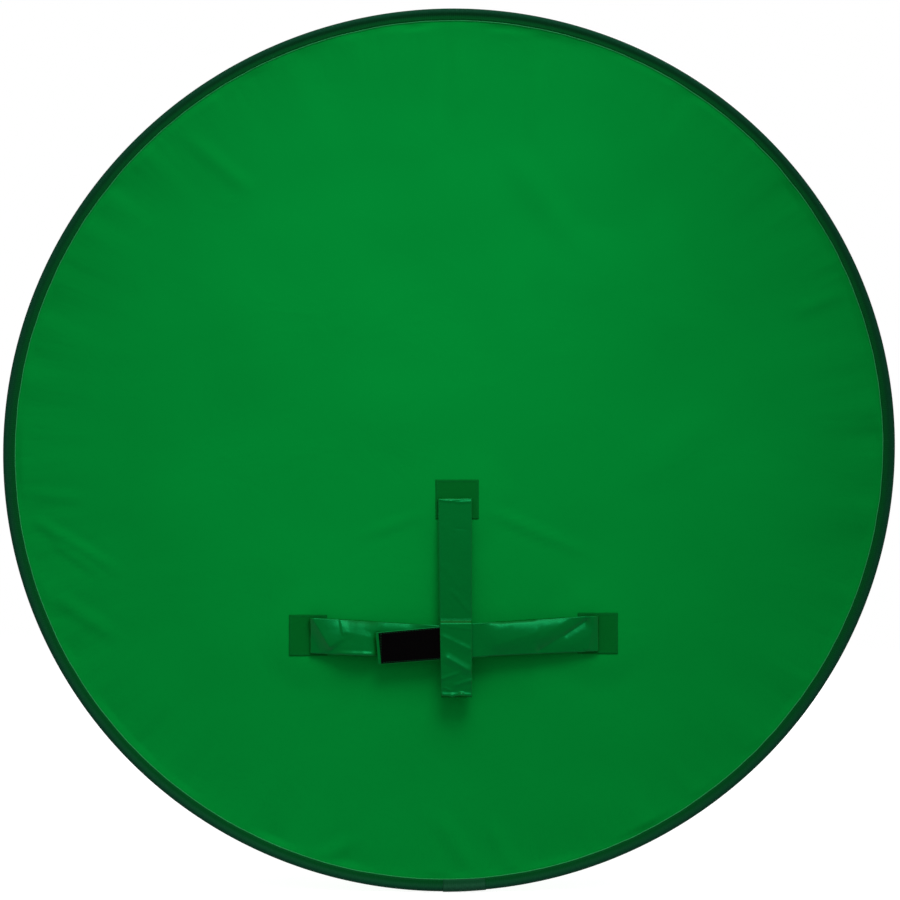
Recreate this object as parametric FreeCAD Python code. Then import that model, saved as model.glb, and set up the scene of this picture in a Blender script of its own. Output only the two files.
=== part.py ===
import FreeCAD, Part
import math
import os

# A pop-up green screen: a round cloth stretched by a spring steel hoop, with straps that hold it on a chair back.
# The origin is on the front face of the cloth, in the middle of the top strap's sewn edge.
# +X is to the right as seen from the strap side, +Y goes through the cloth to its back and +Z is up.
# All sizes are in millimetres and degrees.

# Screen: its outline is an oval of four arcs, because the hoop doesn't spring quite round.
screen_diameter = 1420.0
out_of_round = 10.0
long_axis_angle = 22.0
centre_above_seam = 77.0
centre_left_of_seam = 12.0
cloth_thickness = 0.8
cloth_past_seam = 3.0

# Spring steel hoop, with its ends joined in a ferrule.
hoop_width = 6.0
hoop_thickness = 1.0
hoop_end_gap = 2.0
ferrule_length = 45.0
ferrule_wall = 0.8
ferrule_slack = 0.1
joint_angle = 272.0

# Binding tape, folded over the hoop and sewn through the edge of the cloth.
tape_thickness = 0.8
binding_width = 19.0
sewn_width = 7.0
hoop_pocket_slack = 0.2
nose_facets = 8
overlap_length = 70.0

# Reinforcing patches under the sewn ends of the straps.
patch_thickness = 0.8
top_patch_size = (69.0, 63.0)
top_patch_centre = (1.0, -2.0)
left_patch_size = (61.0, 66.0)
left_patch_outer_margin = 34.0
right_patch_size = (64.0, 66.0)
right_patch_outer_margin = 31.0

# Straps. An arm is the stretch from the sewn end to the fold where the straps cross.
strap_thickness = 1.0
roll_radius = 2.5
arm_reach = 189.0
soft_gap = 0.3
fold_gap = 0.5
hem_length = 12.0
hem_inset = 1.0
crossing_stand_off = 18.0
open_angle = 20.0

# Top strap, which narrows from its sewn end to the bottom of its loop.
top_strap_right_half = 24.5
top_strap_left_half = 29.5
loop_left_half = 26.7
loop_bottom_left_half = 24.2
top_arm_bow_radius = 2500.0

# Loop at the end of the top strap, around the two side straps.
loop_lap = 1.5
shoulder_turn = 70.0
lap_bend_radius = 2.0
shoulder_radius = 3.5
loop_slack = 62.0
belt_headroom = 1.4
loop_clearance = 1.0

# Side straps, which taper from the sewn end to the free end and slope down to the loop.
left_seam_offset = 234.0
right_seam_offset = 227.0
left_belt_drop = 3.6
side_strap_width = 57.0
side_strap_taper = 0.8
left_arm_bow_radius = 1200.0
right_arm_bow_radius = 900.0
arm_slope = 2.8
end_slope = 4.8
layer_gap = 3.2
left_end_inside_loop = 3.0
right_end_past_loop = 100.0
tab_side_gap = 3.0

# Fastening tapes on the side straps.
hook_tape_thickness = 1.4
hook_tape_length = 118.0
loop_tape_thickness = 1.2
loop_tape_fold_margin = 8.0
fastening_edge_margin = 1.0
fastening_end_margin = 4.5

# Values that follow from the sizes above.
half_strap = strap_thickness / 2
roll_outer = roll_radius + half_strap
hinge_height = patch_thickness + soft_gap + roll_outer
cloth_middle = cloth_thickness / 2
centre_x = -centre_left_of_seam
centre_z = centre_above_seam

# Height off the cloth of each layer where the straps cross, at the middle of its thickness.
back_wall_height = crossing_stand_off
left_layer_height = back_wall_height + strap_thickness + loop_clearance + loop_tape_thickness
right_layer_height = left_layer_height + strap_thickness + layer_gap
front_wall_height = right_layer_height + strap_thickness + hook_tape_thickness + loop_clearance

# Where the arms end, and what the straps need there.
top_fold_z = -roll_outer - arm_reach
left_fold_x = -left_seam_offset + roll_outer + arm_reach
right_fold_x = right_seam_offset - roll_outer - arm_reach
loop_half = max(loop_left_half, top_strap_right_half)
right_arm_rise = math.degrees(math.atan2(right_layer_height - hinge_height, arm_reach))
right_arm_length = math.hypot(right_layer_height - hinge_height, arm_reach)
belt_slide = right_arm_length * (
    math.cos(math.radians(right_arm_rise)) - math.cos(math.radians(right_arm_rise + open_angle))
)
tab_fold_x = -(loop_half + belt_slide + tab_side_gap)

# The shoulder carries the loop's front wall off the lap, over the top edges of the side straps.
shoulder_depth = front_wall_height - back_wall_height - strap_thickness
shoulder_sin = math.sin(math.radians(shoulder_turn))
shoulder_cos = math.cos(math.radians(shoulder_turn))
shoulder_straight = (
    shoulder_depth - (lap_bend_radius + shoulder_radius) * (1 - shoulder_cos)
) / shoulder_sin
shoulder_drop = (lap_bend_radius + shoulder_radius) * shoulder_sin + shoulder_straight * shoulder_cos
shoulder_foot_z = top_fold_z - fold_gap / 2 - loop_lap - shoulder_drop
belt_top_z = shoulder_foot_z + shoulder_radius - half_strap - belt_headroom


def vector(x, y, z):
    """A point or direction."""
    return FreeCAD.Vector(x, y, z)


def save(node, shape):
    """Write one node's file and print its size."""
    shape.exportStep("parts/" + node + ".step")
    print(node, shape.isValid(), len(shape.Solids), round(shape.Volume))


# Screen outline


def outline_arcs():
    """The four quarter arcs of the oval, each as centre x, centre z, radius and start angle."""
    long_half = (screen_diameter + out_of_round) / 2
    short_half = (screen_diameter - out_of_round) / 2
    shift = (long_half - short_half) * (1 + math.sqrt(0.5))
    arcs = []
    for quarter in range(4):
        axis_angle = long_axis_angle + 90 * quarter
        on_long_axis = quarter % 2 == 0
        radius = long_half - shift if on_long_axis else short_half + shift
        outward = shift if on_long_axis else -shift
        x = centre_x + outward * math.cos(math.radians(axis_angle))
        z = centre_z + outward * math.sin(math.radians(axis_angle))
        arcs.append((x, z, radius, axis_angle - 45))
    return arcs


def joint_arc():
    """The arc that holds the hoop's joint."""
    for x, z, radius, start in outline_arcs():
        if start <= joint_angle < start + 90:
            return x, z, radius
    raise ValueError("the hoop's joint lies on no arc of the outline")


def section_face(points):
    """A face from corner points in order, each as its depth in from the outline and its height across the rim."""
    corners = [vector(-depth, height + cloth_middle, 0) for depth, height in points]
    return Part.Face(Part.makePolygon(corners + corners[:1]))


def swept(face, x, z, radius, start, turn):
    """The solid that a rim section makes along one arc of the outline."""
    placed = face.copy()
    placed.translate(vector(radius, 0, 0))
    placed.rotate(vector(0, 0, 0), vector(0, -1, 0), start)
    placed.translate(vector(x, 0, z))
    return placed.revolve(vector(x, 0, z), vector(0, -1, 0), turn)


def swept_round(face):
    """The ring that a rim section makes along the whole outline."""
    quarters = [swept(face, x, z, radius, start, 90) for x, z, radius, start in outline_arcs()]
    return quarters[0].fuse(quarters[1:]).removeSplitter()


def swept_joint(face, length):
    """The piece that a rim section makes over a length of the rim, in the middle of the joint."""
    x, z, radius = joint_arc()
    turn = math.degrees(length / radius)
    return swept(face, x, z, radius, joint_angle - turn / 2, turn)


# Hoop and rim sections

ferrule_half_height = hoop_width / 2 + ferrule_slack + ferrule_wall
ferrule_half_depth = hoop_thickness / 2 + ferrule_slack + ferrule_wall
pocket_radius = math.hypot(ferrule_half_height, ferrule_half_depth) + hoop_pocket_slack
hoop_depth = tape_thickness + pocket_radius
clamp_depth = binding_width - sewn_width


def tangent_point(radius, depth, height):
    """Where a line from a point beside the hoop pocket touches a circle around the pocket's middle."""
    along = depth - hoop_depth
    distance = math.hypot(along, height)
    towards = math.atan2(height, along)
    angle = towards + math.acos(radius / distance)
    return hoop_depth + radius * math.cos(angle), radius * math.sin(angle)


def box_section(half_depth, half_height):
    """A rectangle around the hoop's middle."""
    near = hoop_depth - half_depth
    far = hoop_depth + half_depth
    corners = [(near, -half_height), (far, -half_height), (far, half_height), (near, half_height)]
    return section_face(corners)


def tape_face(offset):
    """One face of a tape folded round the hoop, from edge to edge, at an offset from the pocket."""
    touch = tangent_point(pocket_radius + offset, clamp_depth, cloth_middle + offset)
    start = math.atan2(touch[1], touch[0] - hoop_depth)
    step = 2 * (math.pi - start) / nose_facets
    side = [(binding_width, cloth_middle + offset), (clamp_depth, cloth_middle + offset), touch]
    nose = []
    for facet in range(1, nose_facets):
        angle = start + step * facet
        radius = pocket_radius + offset
        nose.append((hoop_depth + radius * math.cos(angle), radius * math.sin(angle)))
    return side + nose + [(depth, -height) for depth, height in reversed(side)]


def tape_section(inner_offset, outer_offset):
    """A tape folded round the hoop, between two offsets from the pocket."""
    return section_face(tape_face(outer_offset) + list(reversed(tape_face(inner_offset))))


def spring_hoop():
    """The flat steel band, open by a small gap inside the ferrule."""
    ring = swept_round(box_section(hoop_thickness / 2, hoop_width / 2))
    opening = swept_joint(box_section(hoop_thickness, hoop_width), hoop_end_gap)
    return ring.cut(opening)


def hoop_ferrule():
    """The flat tube that holds the two ends of the band."""
    outside = swept_joint(box_section(ferrule_half_depth, ferrule_half_height), ferrule_length)
    inside = box_section(hoop_thickness / 2 + ferrule_slack, hoop_width / 2 + ferrule_slack)
    return outside.cut(swept_joint(inside, ferrule_length + 2 * ferrule_wall))


def edge_binding():
    """The binding tape, all the way round."""
    return swept_round(tape_section(0, tape_thickness))


def binding_overlap():
    """The end of the binding tape, lapped over its start at the hoop's joint."""
    return swept_joint(tape_section(tape_thickness, 2 * tape_thickness), overlap_length)


def screen_cloth():
    """The stretched cloth, which ends inside the binding beside the hoop."""
    edge_depth = clamp_depth - cloth_past_seam
    edges = []
    for x, z, radius, start in outline_arcs():
        reach = radius - edge_depth
        points = []
        for angle in (start, start + 45, start + 90):
            turn = math.radians(angle)
            points.append(vector(x + reach * math.cos(turn), 0, z + reach * math.sin(turn)))
        edges.append(Part.Arc(*points).toShape())
    return Part.Face(Part.Wire(edges)).extrude(vector(0, cloth_thickness, 0))


# Strap outlines, seen from the front


def plate(corners, height, thickness):
    """A flat piece from corners (x, z), whose back face lies at a height off the cloth."""
    points = [vector(x, -height, z) for x, z in corners]
    outline = Part.makePolygon(points + points[:1])
    return Part.Face(outline).extrude(vector(0, -thickness, 0))


def patch(centre, size):
    """A reinforcing patch, flat on the cloth."""
    x, z = centre
    half_width = size[0] / 2
    half_height = size[1] / 2
    corners = [
        (x - half_width, z - half_height),
        (x + half_width, z - half_height),
        (x + half_width, z + half_height),
        (x - half_width, z + half_height),
    ]
    return plate(corners, 0, patch_thickness)


def top_strap_corners(high, low, inset=0.0):
    """The top strap's outline between two heights: its right edge is plumb, its left edge slants."""
    corners = []
    for z in (high, low):
        if z > top_fold_z:
            share = z / top_fold_z
            left = top_strap_left_half + (loop_left_half - top_strap_left_half) * share
        else:
            share = (z - top_fold_z) / (loop_bottom_z - top_fold_z)
            left = loop_left_half + (loop_bottom_left_half - loop_left_half) * share
        corners.append([(-left + inset, z), (top_strap_right_half - inset, z)])
    return [corners[0][0], corners[0][1], corners[1][1], corners[1][0]]


def side_half_width(reach):
    """Half the width of a side strap at a distance from its hinge."""
    return side_strap_width / 2 - side_strap_taper * reach / 100


def side_drop(reach):
    """How far a side strap's middle has dropped at a distance from its hinge."""
    drop = min(reach, arm_reach) * math.tan(math.radians(arm_slope))
    return drop + max(reach - arm_reach, 0) * math.tan(math.radians(end_slope))


# The right strap's top edge is held under the loop's shoulder; the left strap's lies a little lower.
right_edge_reach = right_seam_offset - roll_outer - top_strap_right_half
left_edge_reach = left_seam_offset - roll_outer - loop_left_half
right_seam_z = belt_top_z - side_half_width(right_edge_reach) + side_drop(right_edge_reach)
left_seam_z = belt_top_z - left_belt_drop - side_half_width(left_edge_reach) + side_drop(left_edge_reach)
middle_reach = right_seam_offset - roll_outer
belt_bottom_z = right_seam_z - side_drop(middle_reach) - side_half_width(middle_reach)
loop_bottom_z = belt_bottom_z - loop_slack


def side_strap_corners(side, start, end, inset=0.0, free_end=False):
    """A side strap's outline between two distances from its hinge; side is -1 for left, 1 for right."""
    seam_x = side * (left_seam_offset if side < 0 else right_seam_offset) - side * roll_outer
    seam_z = left_seam_z if side < 0 else right_seam_z
    square_cut = math.sin(math.radians(end_slope)) if free_end else 0.0
    upper = []
    lower = []
    for reach, lean in ((start, 0.0), (end, square_cut)):
        half = side_half_width(reach) - inset
        middle = seam_z - side_drop(reach)
        slant = half * lean
        upper.append((seam_x - side * (reach + slant), middle + half))
        lower.append((seam_x - side * (reach - slant), middle - half))
    return [upper[0], upper[1], lower[1], lower[0]]


def side_reach(side, x):
    """The distance from a side strap's hinge to a place across the screen."""
    seam = left_seam_offset if side < 0 else right_seam_offset
    return seam - roll_outer - side * x


# Strap sections


def circle_point(centre, radius, angle):
    """A point on a circle in the plane of X and Y."""
    turn = math.radians(angle)
    return vector(centre.x + radius * math.cos(turn), centre.y + radius * math.sin(turn), 0)


def arm_section(fold_height, bow_radius):
    """The section of an arm: a roll about its hinge, then a gentle bow to the fold.

    The hinge lies over the origin of the section and the arm reaches out along +X, off the cloth on the -Y side.
    """
    hinge = vector(0, -hinge_height, 0)
    fold = vector(arm_reach, -fold_height, 0)
    chord = fold - hinge
    span = chord.Length
    along = ((bow_radius - roll_radius) ** 2 - bow_radius ** 2 + span ** 2) / (2 * span)
    across = math.sqrt((bow_radius - roll_radius) ** 2 - along ** 2)
    direction = chord * (1 / span)
    inward = vector(-direction.y, direction.x, 0)
    centre = hinge + direction * along + inward * across
    touch_angle = math.degrees(math.atan2(hinge.y - centre.y, hinge.x - centre.x))
    fold_angle = math.degrees(math.atan2(fold.y - centre.y, fold.x - centre.x))
    end_angle = fold_angle - math.degrees(fold_gap / 2 / bow_radius)
    middle_angle = (touch_angle + end_angle) / 2
    edges = []
    for offset in (half_strap, -half_strap):
        roll = roll_radius + offset
        bow = bow_radius + offset
        start = circle_point(hinge, roll, 90)
        touch = circle_point(hinge, roll, touch_angle)
        end = circle_point(centre, bow, end_angle)
        edges.append(Part.Arc(start, circle_point(hinge, roll, 180), touch).toShape())
        edges.append(Part.Arc(touch, circle_point(centre, bow, middle_angle), end).toShape())
    outer_end = edges[1].Vertexes[-1].Point
    inner_end = edges[3].Vertexes[-1].Point
    outer_start = edges[0].Vertexes[0].Point
    inner_start = edges[2].Vertexes[0].Point
    across_end = Part.LineSegment(outer_end, inner_end).toShape()
    across_start = Part.LineSegment(inner_start, outer_start).toShape()
    wire = Part.Wire(Part.__sortEdges__(edges + [across_end, across_start]))
    return Part.Face(wire)


def strip_section(start, heading, moves, thickness):
    """The section of a bent strip: moves are (length, 0) for a straight and (radius, turn) for a bend.

    A heading of 0 points along +X; a positive turn is towards +Y.
    """
    near = []
    far = []
    position = vector(start[0], start[1], 0)
    for size, turn in moves:
        angle = math.radians(heading)
        left = vector(-math.sin(angle), math.cos(angle), 0)
        if turn == 0:
            after = position + vector(math.cos(angle), math.sin(angle), 0) * size
            for sign, edges in ((1, near), (-1, far)):
                shift = left * (sign * thickness / 2)
                edges.append(Part.LineSegment(position + shift, after + shift).toShape())
        else:
            bend_side = 1 if turn > 0 else -1
            centre = position + left * (bend_side * size)
            first = heading - 90 * bend_side
            for sign, edges in ((1, near), (-1, far)):
                radius = size - bend_side * sign * thickness / 2
                points = [circle_point(centre, radius, first + turn * share) for share in (0, 0.5, 1)]
                edges.append(Part.Arc(*points).toShape())
            after = circle_point(centre, size, first + turn)
            heading = heading + turn
        position = after
    begin = Part.LineSegment(far[0].Vertexes[0].Point, near[0].Vertexes[0].Point).toShape()
    finish = Part.LineSegment(near[-1].Vertexes[-1].Point, far[-1].Vertexes[-1].Point).toShape()
    return Part.Face(Part.Wire(Part.__sortEdges__(near + far + [begin, finish])))


def upright(section):
    """Turn a section so that its +X points down and its depth stays across the cloth."""
    turned = section.copy()
    turned.rotate(vector(0, 0, 0), vector(0, 1, 0), 90)
    return turned


def cut_to(solid, corners):
    """Keep what lies inside an outline seen from the front, at any height off the cloth."""
    return solid.common(plate(corners, -screen_diameter / 2, screen_diameter))


# Top strap and its loop


def top_strap_arm():
    """The top strap from its rolled sewn end down to the loop."""
    section = upright(arm_section(back_wall_height, top_arm_bow_radius))
    section.translate(vector(-2 * top_strap_left_half, 0, -roll_outer))
    solid = section.extrude(vector(4 * top_strap_left_half, 0, 0))
    return cut_to(solid, top_strap_corners(0.0, top_fold_z))


def strap_loop():
    """The folded and sewn end of the top strap, with room inside for the side straps."""
    top = -(top_fold_z - fold_gap / 2)
    fold_radius = (front_wall_height - back_wall_height) / 2
    straight_foot = -loop_bottom_z - half_strap - fold_radius
    lap_height = back_wall_height + strap_thickness
    folded = strip_section(
        (top, -lap_height),
        0,
        [
            (loop_lap, 0),
            (lap_bend_radius, -shoulder_turn),
            (shoulder_straight, 0),
            (shoulder_radius, shoulder_turn),
            (straight_foot + shoulder_foot_z, 0),
            (fold_radius, 180),
            (straight_foot + shoulder_foot_z, 0),
        ],
        strap_thickness,
    )
    behind_shoulder = strip_section(
        (top, -back_wall_height), 0, [(-shoulder_foot_z - top, 0)], strap_thickness
    )
    solids = []
    for section in (folded, behind_shoulder):
        placed = upright(section)
        placed.translate(vector(-2 * top_strap_left_half, 0, 0))
        solids.append(placed.extrude(vector(4 * top_strap_left_half, 0, 0)))
    loop = solids[0].fuse(solids[1]).removeSplitter()
    return cut_to(loop, top_strap_corners(top_fold_z, loop_bottom_z))


def top_strap_hem():
    """The end of the top strap that is sewn flat on its patch, behind the roll."""
    start = hem_start()
    corners = top_strap_corners(-roll_outer - start, -roll_outer - start - hem_length, hem_inset)
    return plate(corners, patch_thickness, strap_thickness)


def hem_start():
    """How far past the hinge a sewn hem begins, so that the roll never reaches it."""
    return roll_outer * math.sin(math.radians(open_angle)) + soft_gap


# Side straps


def side_strap_arm(side, fold_height):
    """A side strap from its rolled sewn end to the fold beside the loop."""
    section = arm_section(fold_height, left_arm_bow_radius if side < 0 else right_arm_bow_radius)
    seam = left_seam_offset if side < 0 else right_seam_offset
    section.translate(vector(-seam + roll_outer, 0, -screen_diameter / 2))
    solid = section.extrude(vector(0, 0, screen_diameter))
    if side > 0:
        solid = solid.mirror(vector(0, 0, 0), vector(1, 0, 0))
    return cut_to(solid, side_strap_corners(side, -roll_outer, arm_reach))


def side_strap_hem(side):
    """The end of a side strap that is sewn flat on its patch, behind the roll."""
    corners = side_strap_corners(side, hem_start(), hem_start() + hem_length, hem_inset)
    return plate(corners, patch_thickness, strap_thickness)


def left_strap_end():
    """The left strap from its fold, through the loop, to its free end behind the right strap."""
    end = side_reach(-1, loop_half - left_end_inside_loop)
    corners = side_strap_corners(-1, arm_reach + fold_gap / 2, end, 0.0, True)
    return plate(corners, left_layer_height - half_strap, strap_thickness)


def loop_tape():
    """The soft fastening tape on the back of the left strap's end."""
    end = side_reach(-1, loop_half - left_end_inside_loop) - fastening_end_margin
    start = arm_reach + loop_tape_fold_margin
    corners = side_strap_corners(-1, start, end, fastening_edge_margin, True)
    return plate(corners, left_layer_height - half_strap - loop_tape_thickness, loop_tape_thickness)


def right_strap_middle():
    """The right strap from its fold, through the loop, to the fold of its free tab."""
    fold = side_reach(1, tab_fold_x) - fold_gap / 2
    corners = side_strap_corners(1, arm_reach + fold_gap / 2, fold)
    return plate(corners, right_layer_height - half_strap, strap_thickness)


def right_strap_tab():
    """The free end of the right strap."""
    fold = side_reach(1, tab_fold_x) + fold_gap / 2
    end = side_reach(1, -loop_half - right_end_past_loop)
    corners = side_strap_corners(1, fold, end, 0.0, True)
    return plate(corners, right_layer_height - half_strap, strap_thickness)


def hook_tape_end():
    """The hook tape on the front of the free tab."""
    fold = side_reach(1, tab_fold_x) + fold_gap / 2
    end = side_reach(1, -loop_half - right_end_past_loop) - fastening_end_margin
    corners = side_strap_corners(1, fold, end, fastening_edge_margin, True)
    return plate(corners, right_layer_height + half_strap, hook_tape_thickness)


def hook_tape_root():
    """The rest of the hook tape, which runs on under the loop."""
    fold = side_reach(1, tab_fold_x) - fold_gap / 2
    end = side_reach(1, -loop_half - right_end_past_loop) - fastening_end_margin
    corners = side_strap_corners(1, end - hook_tape_length, fold, fastening_edge_margin)
    return plate(corners, right_layer_height + half_strap, hook_tape_thickness)


# Patches


def top_patch():
    """The patch under the top strap's sewn end."""
    return patch(top_patch_centre, top_patch_size)


def left_patch():
    """The patch under the left strap's sewn end."""
    width = left_patch_size[0]
    return patch((-left_seam_offset - left_patch_outer_margin + width / 2, left_seam_z), left_patch_size)


def right_patch():
    """The patch under the right strap's sewn end."""
    width = right_patch_size[0]
    return patch((right_seam_offset + right_patch_outer_margin - width / 2, right_seam_z), right_patch_size)


os.makedirs("parts", exist_ok=True)

save("screen_cloth", screen_cloth())
save("spring_hoop", spring_hoop())
save("hoop_ferrule", hoop_ferrule())
save("edge_binding", edge_binding())
save("binding_overlap", binding_overlap())
save("top_patch", top_patch())
save("left_patch", left_patch())
save("right_patch", right_patch())
save("top_strap_hem", top_strap_hem())
save("left_strap_hem", side_strap_hem(-1))
save("right_strap_hem", side_strap_hem(1))
save("top_strap_arm", top_strap_arm())
save("strap_loop", strap_loop())
save("left_strap_arm", side_strap_arm(-1, left_layer_height))
save("left_strap_end", left_strap_end())
save("loop_tape", loop_tape())
save("right_strap_arm", side_strap_arm(1, right_layer_height))
save("right_strap_middle", right_strap_middle())
save("hook_tape_root", hook_tape_root())
save("right_strap_tab", right_strap_tab())
save("hook_tape_end", hook_tape_end())

print("top fold z", round(top_fold_z, 2), "hinge height", round(hinge_height, 2))
print("left fold x", round(left_fold_x, 2), "right fold x", round(right_fold_x, 2), "tab fold x", round(tab_fold_x, 2))
print("layer heights", back_wall_height, left_layer_height, right_layer_height, front_wall_height)
print("seam z", round(left_seam_z, 2), round(right_seam_z, 2), "loop bottom z", round(loop_bottom_z, 2))
print("belt top z", round(belt_top_z, 2), "belt bottom z", round(belt_bottom_z, 2), "slide", round(belt_slide, 2))
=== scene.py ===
"""Looks of a round pop-up green screen with chair straps, made around its CAD model.

All sizes are in metres and degrees. The origin is on the front face of the cloth, in the middle of the top
strap's sewn edge. +X is to the right as seen from the strap side, +Y goes through the cloth to its back and
+Z is up.
"""

from __future__ import annotations

import bisect
import logging
import math
from collections.abc import Callable, Sequence
from dataclasses import dataclass, field, replace
from enum import Enum
from functools import partial

import bmesh
import bpy
from mathutils import Matrix, Vector, noise

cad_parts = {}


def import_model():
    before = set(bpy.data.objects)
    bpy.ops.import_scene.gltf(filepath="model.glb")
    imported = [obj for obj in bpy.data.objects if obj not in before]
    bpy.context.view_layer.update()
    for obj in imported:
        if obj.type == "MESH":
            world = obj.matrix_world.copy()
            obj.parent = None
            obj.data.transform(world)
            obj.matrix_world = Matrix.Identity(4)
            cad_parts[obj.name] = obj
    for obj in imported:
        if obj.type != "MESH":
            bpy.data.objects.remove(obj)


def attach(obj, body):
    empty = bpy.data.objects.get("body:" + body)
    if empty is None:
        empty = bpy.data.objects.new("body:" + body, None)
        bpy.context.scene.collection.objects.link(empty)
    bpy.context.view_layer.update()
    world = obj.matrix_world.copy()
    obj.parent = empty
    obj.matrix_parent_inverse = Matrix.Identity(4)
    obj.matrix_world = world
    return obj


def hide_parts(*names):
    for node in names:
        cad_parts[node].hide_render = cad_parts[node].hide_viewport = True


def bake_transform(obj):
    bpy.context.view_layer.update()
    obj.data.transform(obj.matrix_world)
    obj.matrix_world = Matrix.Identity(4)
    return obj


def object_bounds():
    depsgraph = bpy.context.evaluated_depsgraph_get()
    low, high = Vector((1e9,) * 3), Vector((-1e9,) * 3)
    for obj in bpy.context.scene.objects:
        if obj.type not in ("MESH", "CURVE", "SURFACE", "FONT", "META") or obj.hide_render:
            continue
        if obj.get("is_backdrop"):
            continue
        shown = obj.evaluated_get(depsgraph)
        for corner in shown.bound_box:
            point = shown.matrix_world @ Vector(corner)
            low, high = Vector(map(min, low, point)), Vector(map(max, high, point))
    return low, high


log = logging.getLogger("green_screen")

WEAVE_MAP = "Weave"
# The binding's back is mapped this far beyond its front, so that each face keeps its own ribs.
BACK_OFFSET = 0.03
# Points closer than this are one point.
MERGE_REACH = 1e-6
WHITE = (1.0, 1.0, 1.0, 1.0)


class Side(Enum):
    """Which side of the screen a side strap is sewn to, as seen from the strap side."""

    LEFT = -1
    RIGHT = 1


class Face(Enum):
    """A face of the screen cloth."""

    FRONT = -1
    BACK = 1


# Finishes


Colour = tuple[float, float, float]
Socket = bpy.types.NodeSocket


def opaque(colour: Colour) -> tuple[float, float, float, float]:
    """Give a colour its alpha value."""
    return (*colour, 1.0)


class Nodes:
    """A small helper that adds shader nodes to a material or a world."""

    def __init__(self, owner: bpy.types.Material | bpy.types.World, kind: str = "Material") -> None:
        """Start from an empty node tree.

        Args:
            owner: The material or world.
            kind: Which of the two it is, as its output node is named.
        """
        owner.use_nodes = True
        self.owner = owner
        self.tree = owner.node_tree
        self.tree.nodes.clear()
        self.output = self.tree.nodes.new("ShaderNodeOutput" + kind)

    def add(self, kind: str, inputs: dict[str, object] | None = None, **settings: object) -> bpy.types.Node:
        """Add a node.

        Args:
            kind: The node's type name, without its "ShaderNode" prefix.
            inputs: Values or output sockets by input name or number.
            settings: Properties of the node itself.

        Returns:
            The new node.
        """
        node = self.tree.nodes.new("ShaderNode" + kind)
        for name, value in settings.items():
            setattr(node, name, value)
        for name, value in (inputs or {}).items():
            socket = node.inputs[int(name)] if name.isdigit() else node.inputs[name]
            if isinstance(value, bpy.types.NodeSocket):
                self.tree.links.new(value, socket)
            else:
                socket.default_value = value
        return node

    def object_place(self) -> Socket:
        """A point's place on its object."""
        return self.add("TexCoord").outputs["Object"]

    def weave_place(self) -> Socket:
        """A point's place on the cloth in metres, from the piece's own weave map."""
        return self.add("UVMap", uv_map=WEAVE_MAP).outputs["UV"]

    def math(self, operation: str, first: float | Socket, second: float | Socket) -> Socket:
        """Combine two numbers."""
        return self.add("Math", {"0": first, "1": second}, operation=operation).outputs["Value"]

    def vector(self, operation: str, first: Socket, second: Colour | Socket) -> Socket:
        """Combine two vectors."""
        return self.add("VectorMath", {"0": first, "1": second}, operation=operation).outputs["Vector"]

    def noise(
        self, place: Socket, scale: float, detail: float, roughness: float = 0.5, distortion: float = 0.0
    ) -> Socket:
        """Add an uneven pattern.

        Args:
            place: The place that it is read at.
            scale: How many grains it has to a metre.
            detail: How many finer layers it has.
            roughness: How strong the finer layers are.
            distortion: How far it is bent.

        Returns:
            The pattern's value.
        """
        inputs = {"Vector": place, "Scale": scale, "Detail": detail}
        inputs.update({"Roughness": roughness, "Distortion": distortion})
        return self.add("TexNoise", inputs).outputs["Fac"]

    def bands(self, place: Socket, direction: str, pitch: float, distortion: float, detail: float) -> Socket:
        """Add even bands, such as threads or ribs.

        Args:
            place: The place that they are read at.
            direction: The axis that they follow each other along, X or Y.
            pitch: Their spacing.
            distortion: How far they are bent.
            detail: How many finer layers the bends have.

        Returns:
            The bands' value.
        """
        scale = 1.0 / pitch / math.tau
        inputs = {"Vector": place, "Scale": scale, "Distortion": distortion, "Detail": detail}
        return self.add("TexWave", inputs, bands_direction=direction).outputs["Fac"]

    def ramp(
        self,
        value: Socket,
        low: float,
        high: float,
        start: float = 0.0,
        end: float = 1.0,
        eased: bool = False,
    ) -> Socket:
        """Turn a range of values into another range, and hold its ends beyond it.

        Args:
            value: The value.
            low: Where the range begins.
            high: Where it ends.
            start: What its beginning becomes.
            end: What its end becomes.
            eased: Whether it flattens at both ends.

        Returns:
            The new value.
        """
        inputs = {"Value": value, "From Min": low, "From Max": high, "To Min": start, "To Max": end}
        form = "SMOOTHSTEP" if eased else "LINEAR"
        return self.add("MapRange", inputs, interpolation_type=form).outputs["Result"]

    def mix(self, share: Socket, first: Colour | Socket, second: Colour) -> Socket:
        """Mix two colours.

        Args:
            share: The second colour's share, from 0 to 1.
            first: The first colour.
            second: The second colour.

        Returns:
            The mixed colour.
        """
        ground = opaque(first) if isinstance(first, tuple) else first
        inputs = {"0": share, "6": ground, "7": opaque(second)}
        return self.add("Mix", inputs, data_type="RGBA").outputs["Result"]

    def bump(
        self, height: Socket, distance: float, strength: float = 1.0, normal: Socket | None = None
    ) -> Socket:
        """Make a surface catch light as if a pattern stood on it.

        Args:
            height: The pattern.
            distance: How high it stands.
            strength: How much of it shows.
            normal: The normal of another bump to build on.

        Returns:
            The new normal.
        """
        inputs = {"Height": height, "Distance": distance, "Strength": strength}
        if normal is not None:
            inputs["Normal"] = normal
        return self.add("Bump", inputs).outputs["Normal"]

    def seen_rays(self) -> Socket:
        """Tell the rays that are seen, from the camera or in reflections, from light that only fills in.

        Returns:
            A value of 1 for rays that are seen, and 0 for the others.
        """
        path = self.add("LightPath").outputs
        shiny = self.math("MAXIMUM", path["Is Glossy Ray"], path["Is Transmission Ray"])
        return self.math("MAXIMUM", path["Is Camera Ray"], shiny)

    def finish(self, shader: Socket) -> None:
        """Link a finished shader to the output."""
        self.tree.links.new(shader, self.output.inputs["Surface"])

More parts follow.
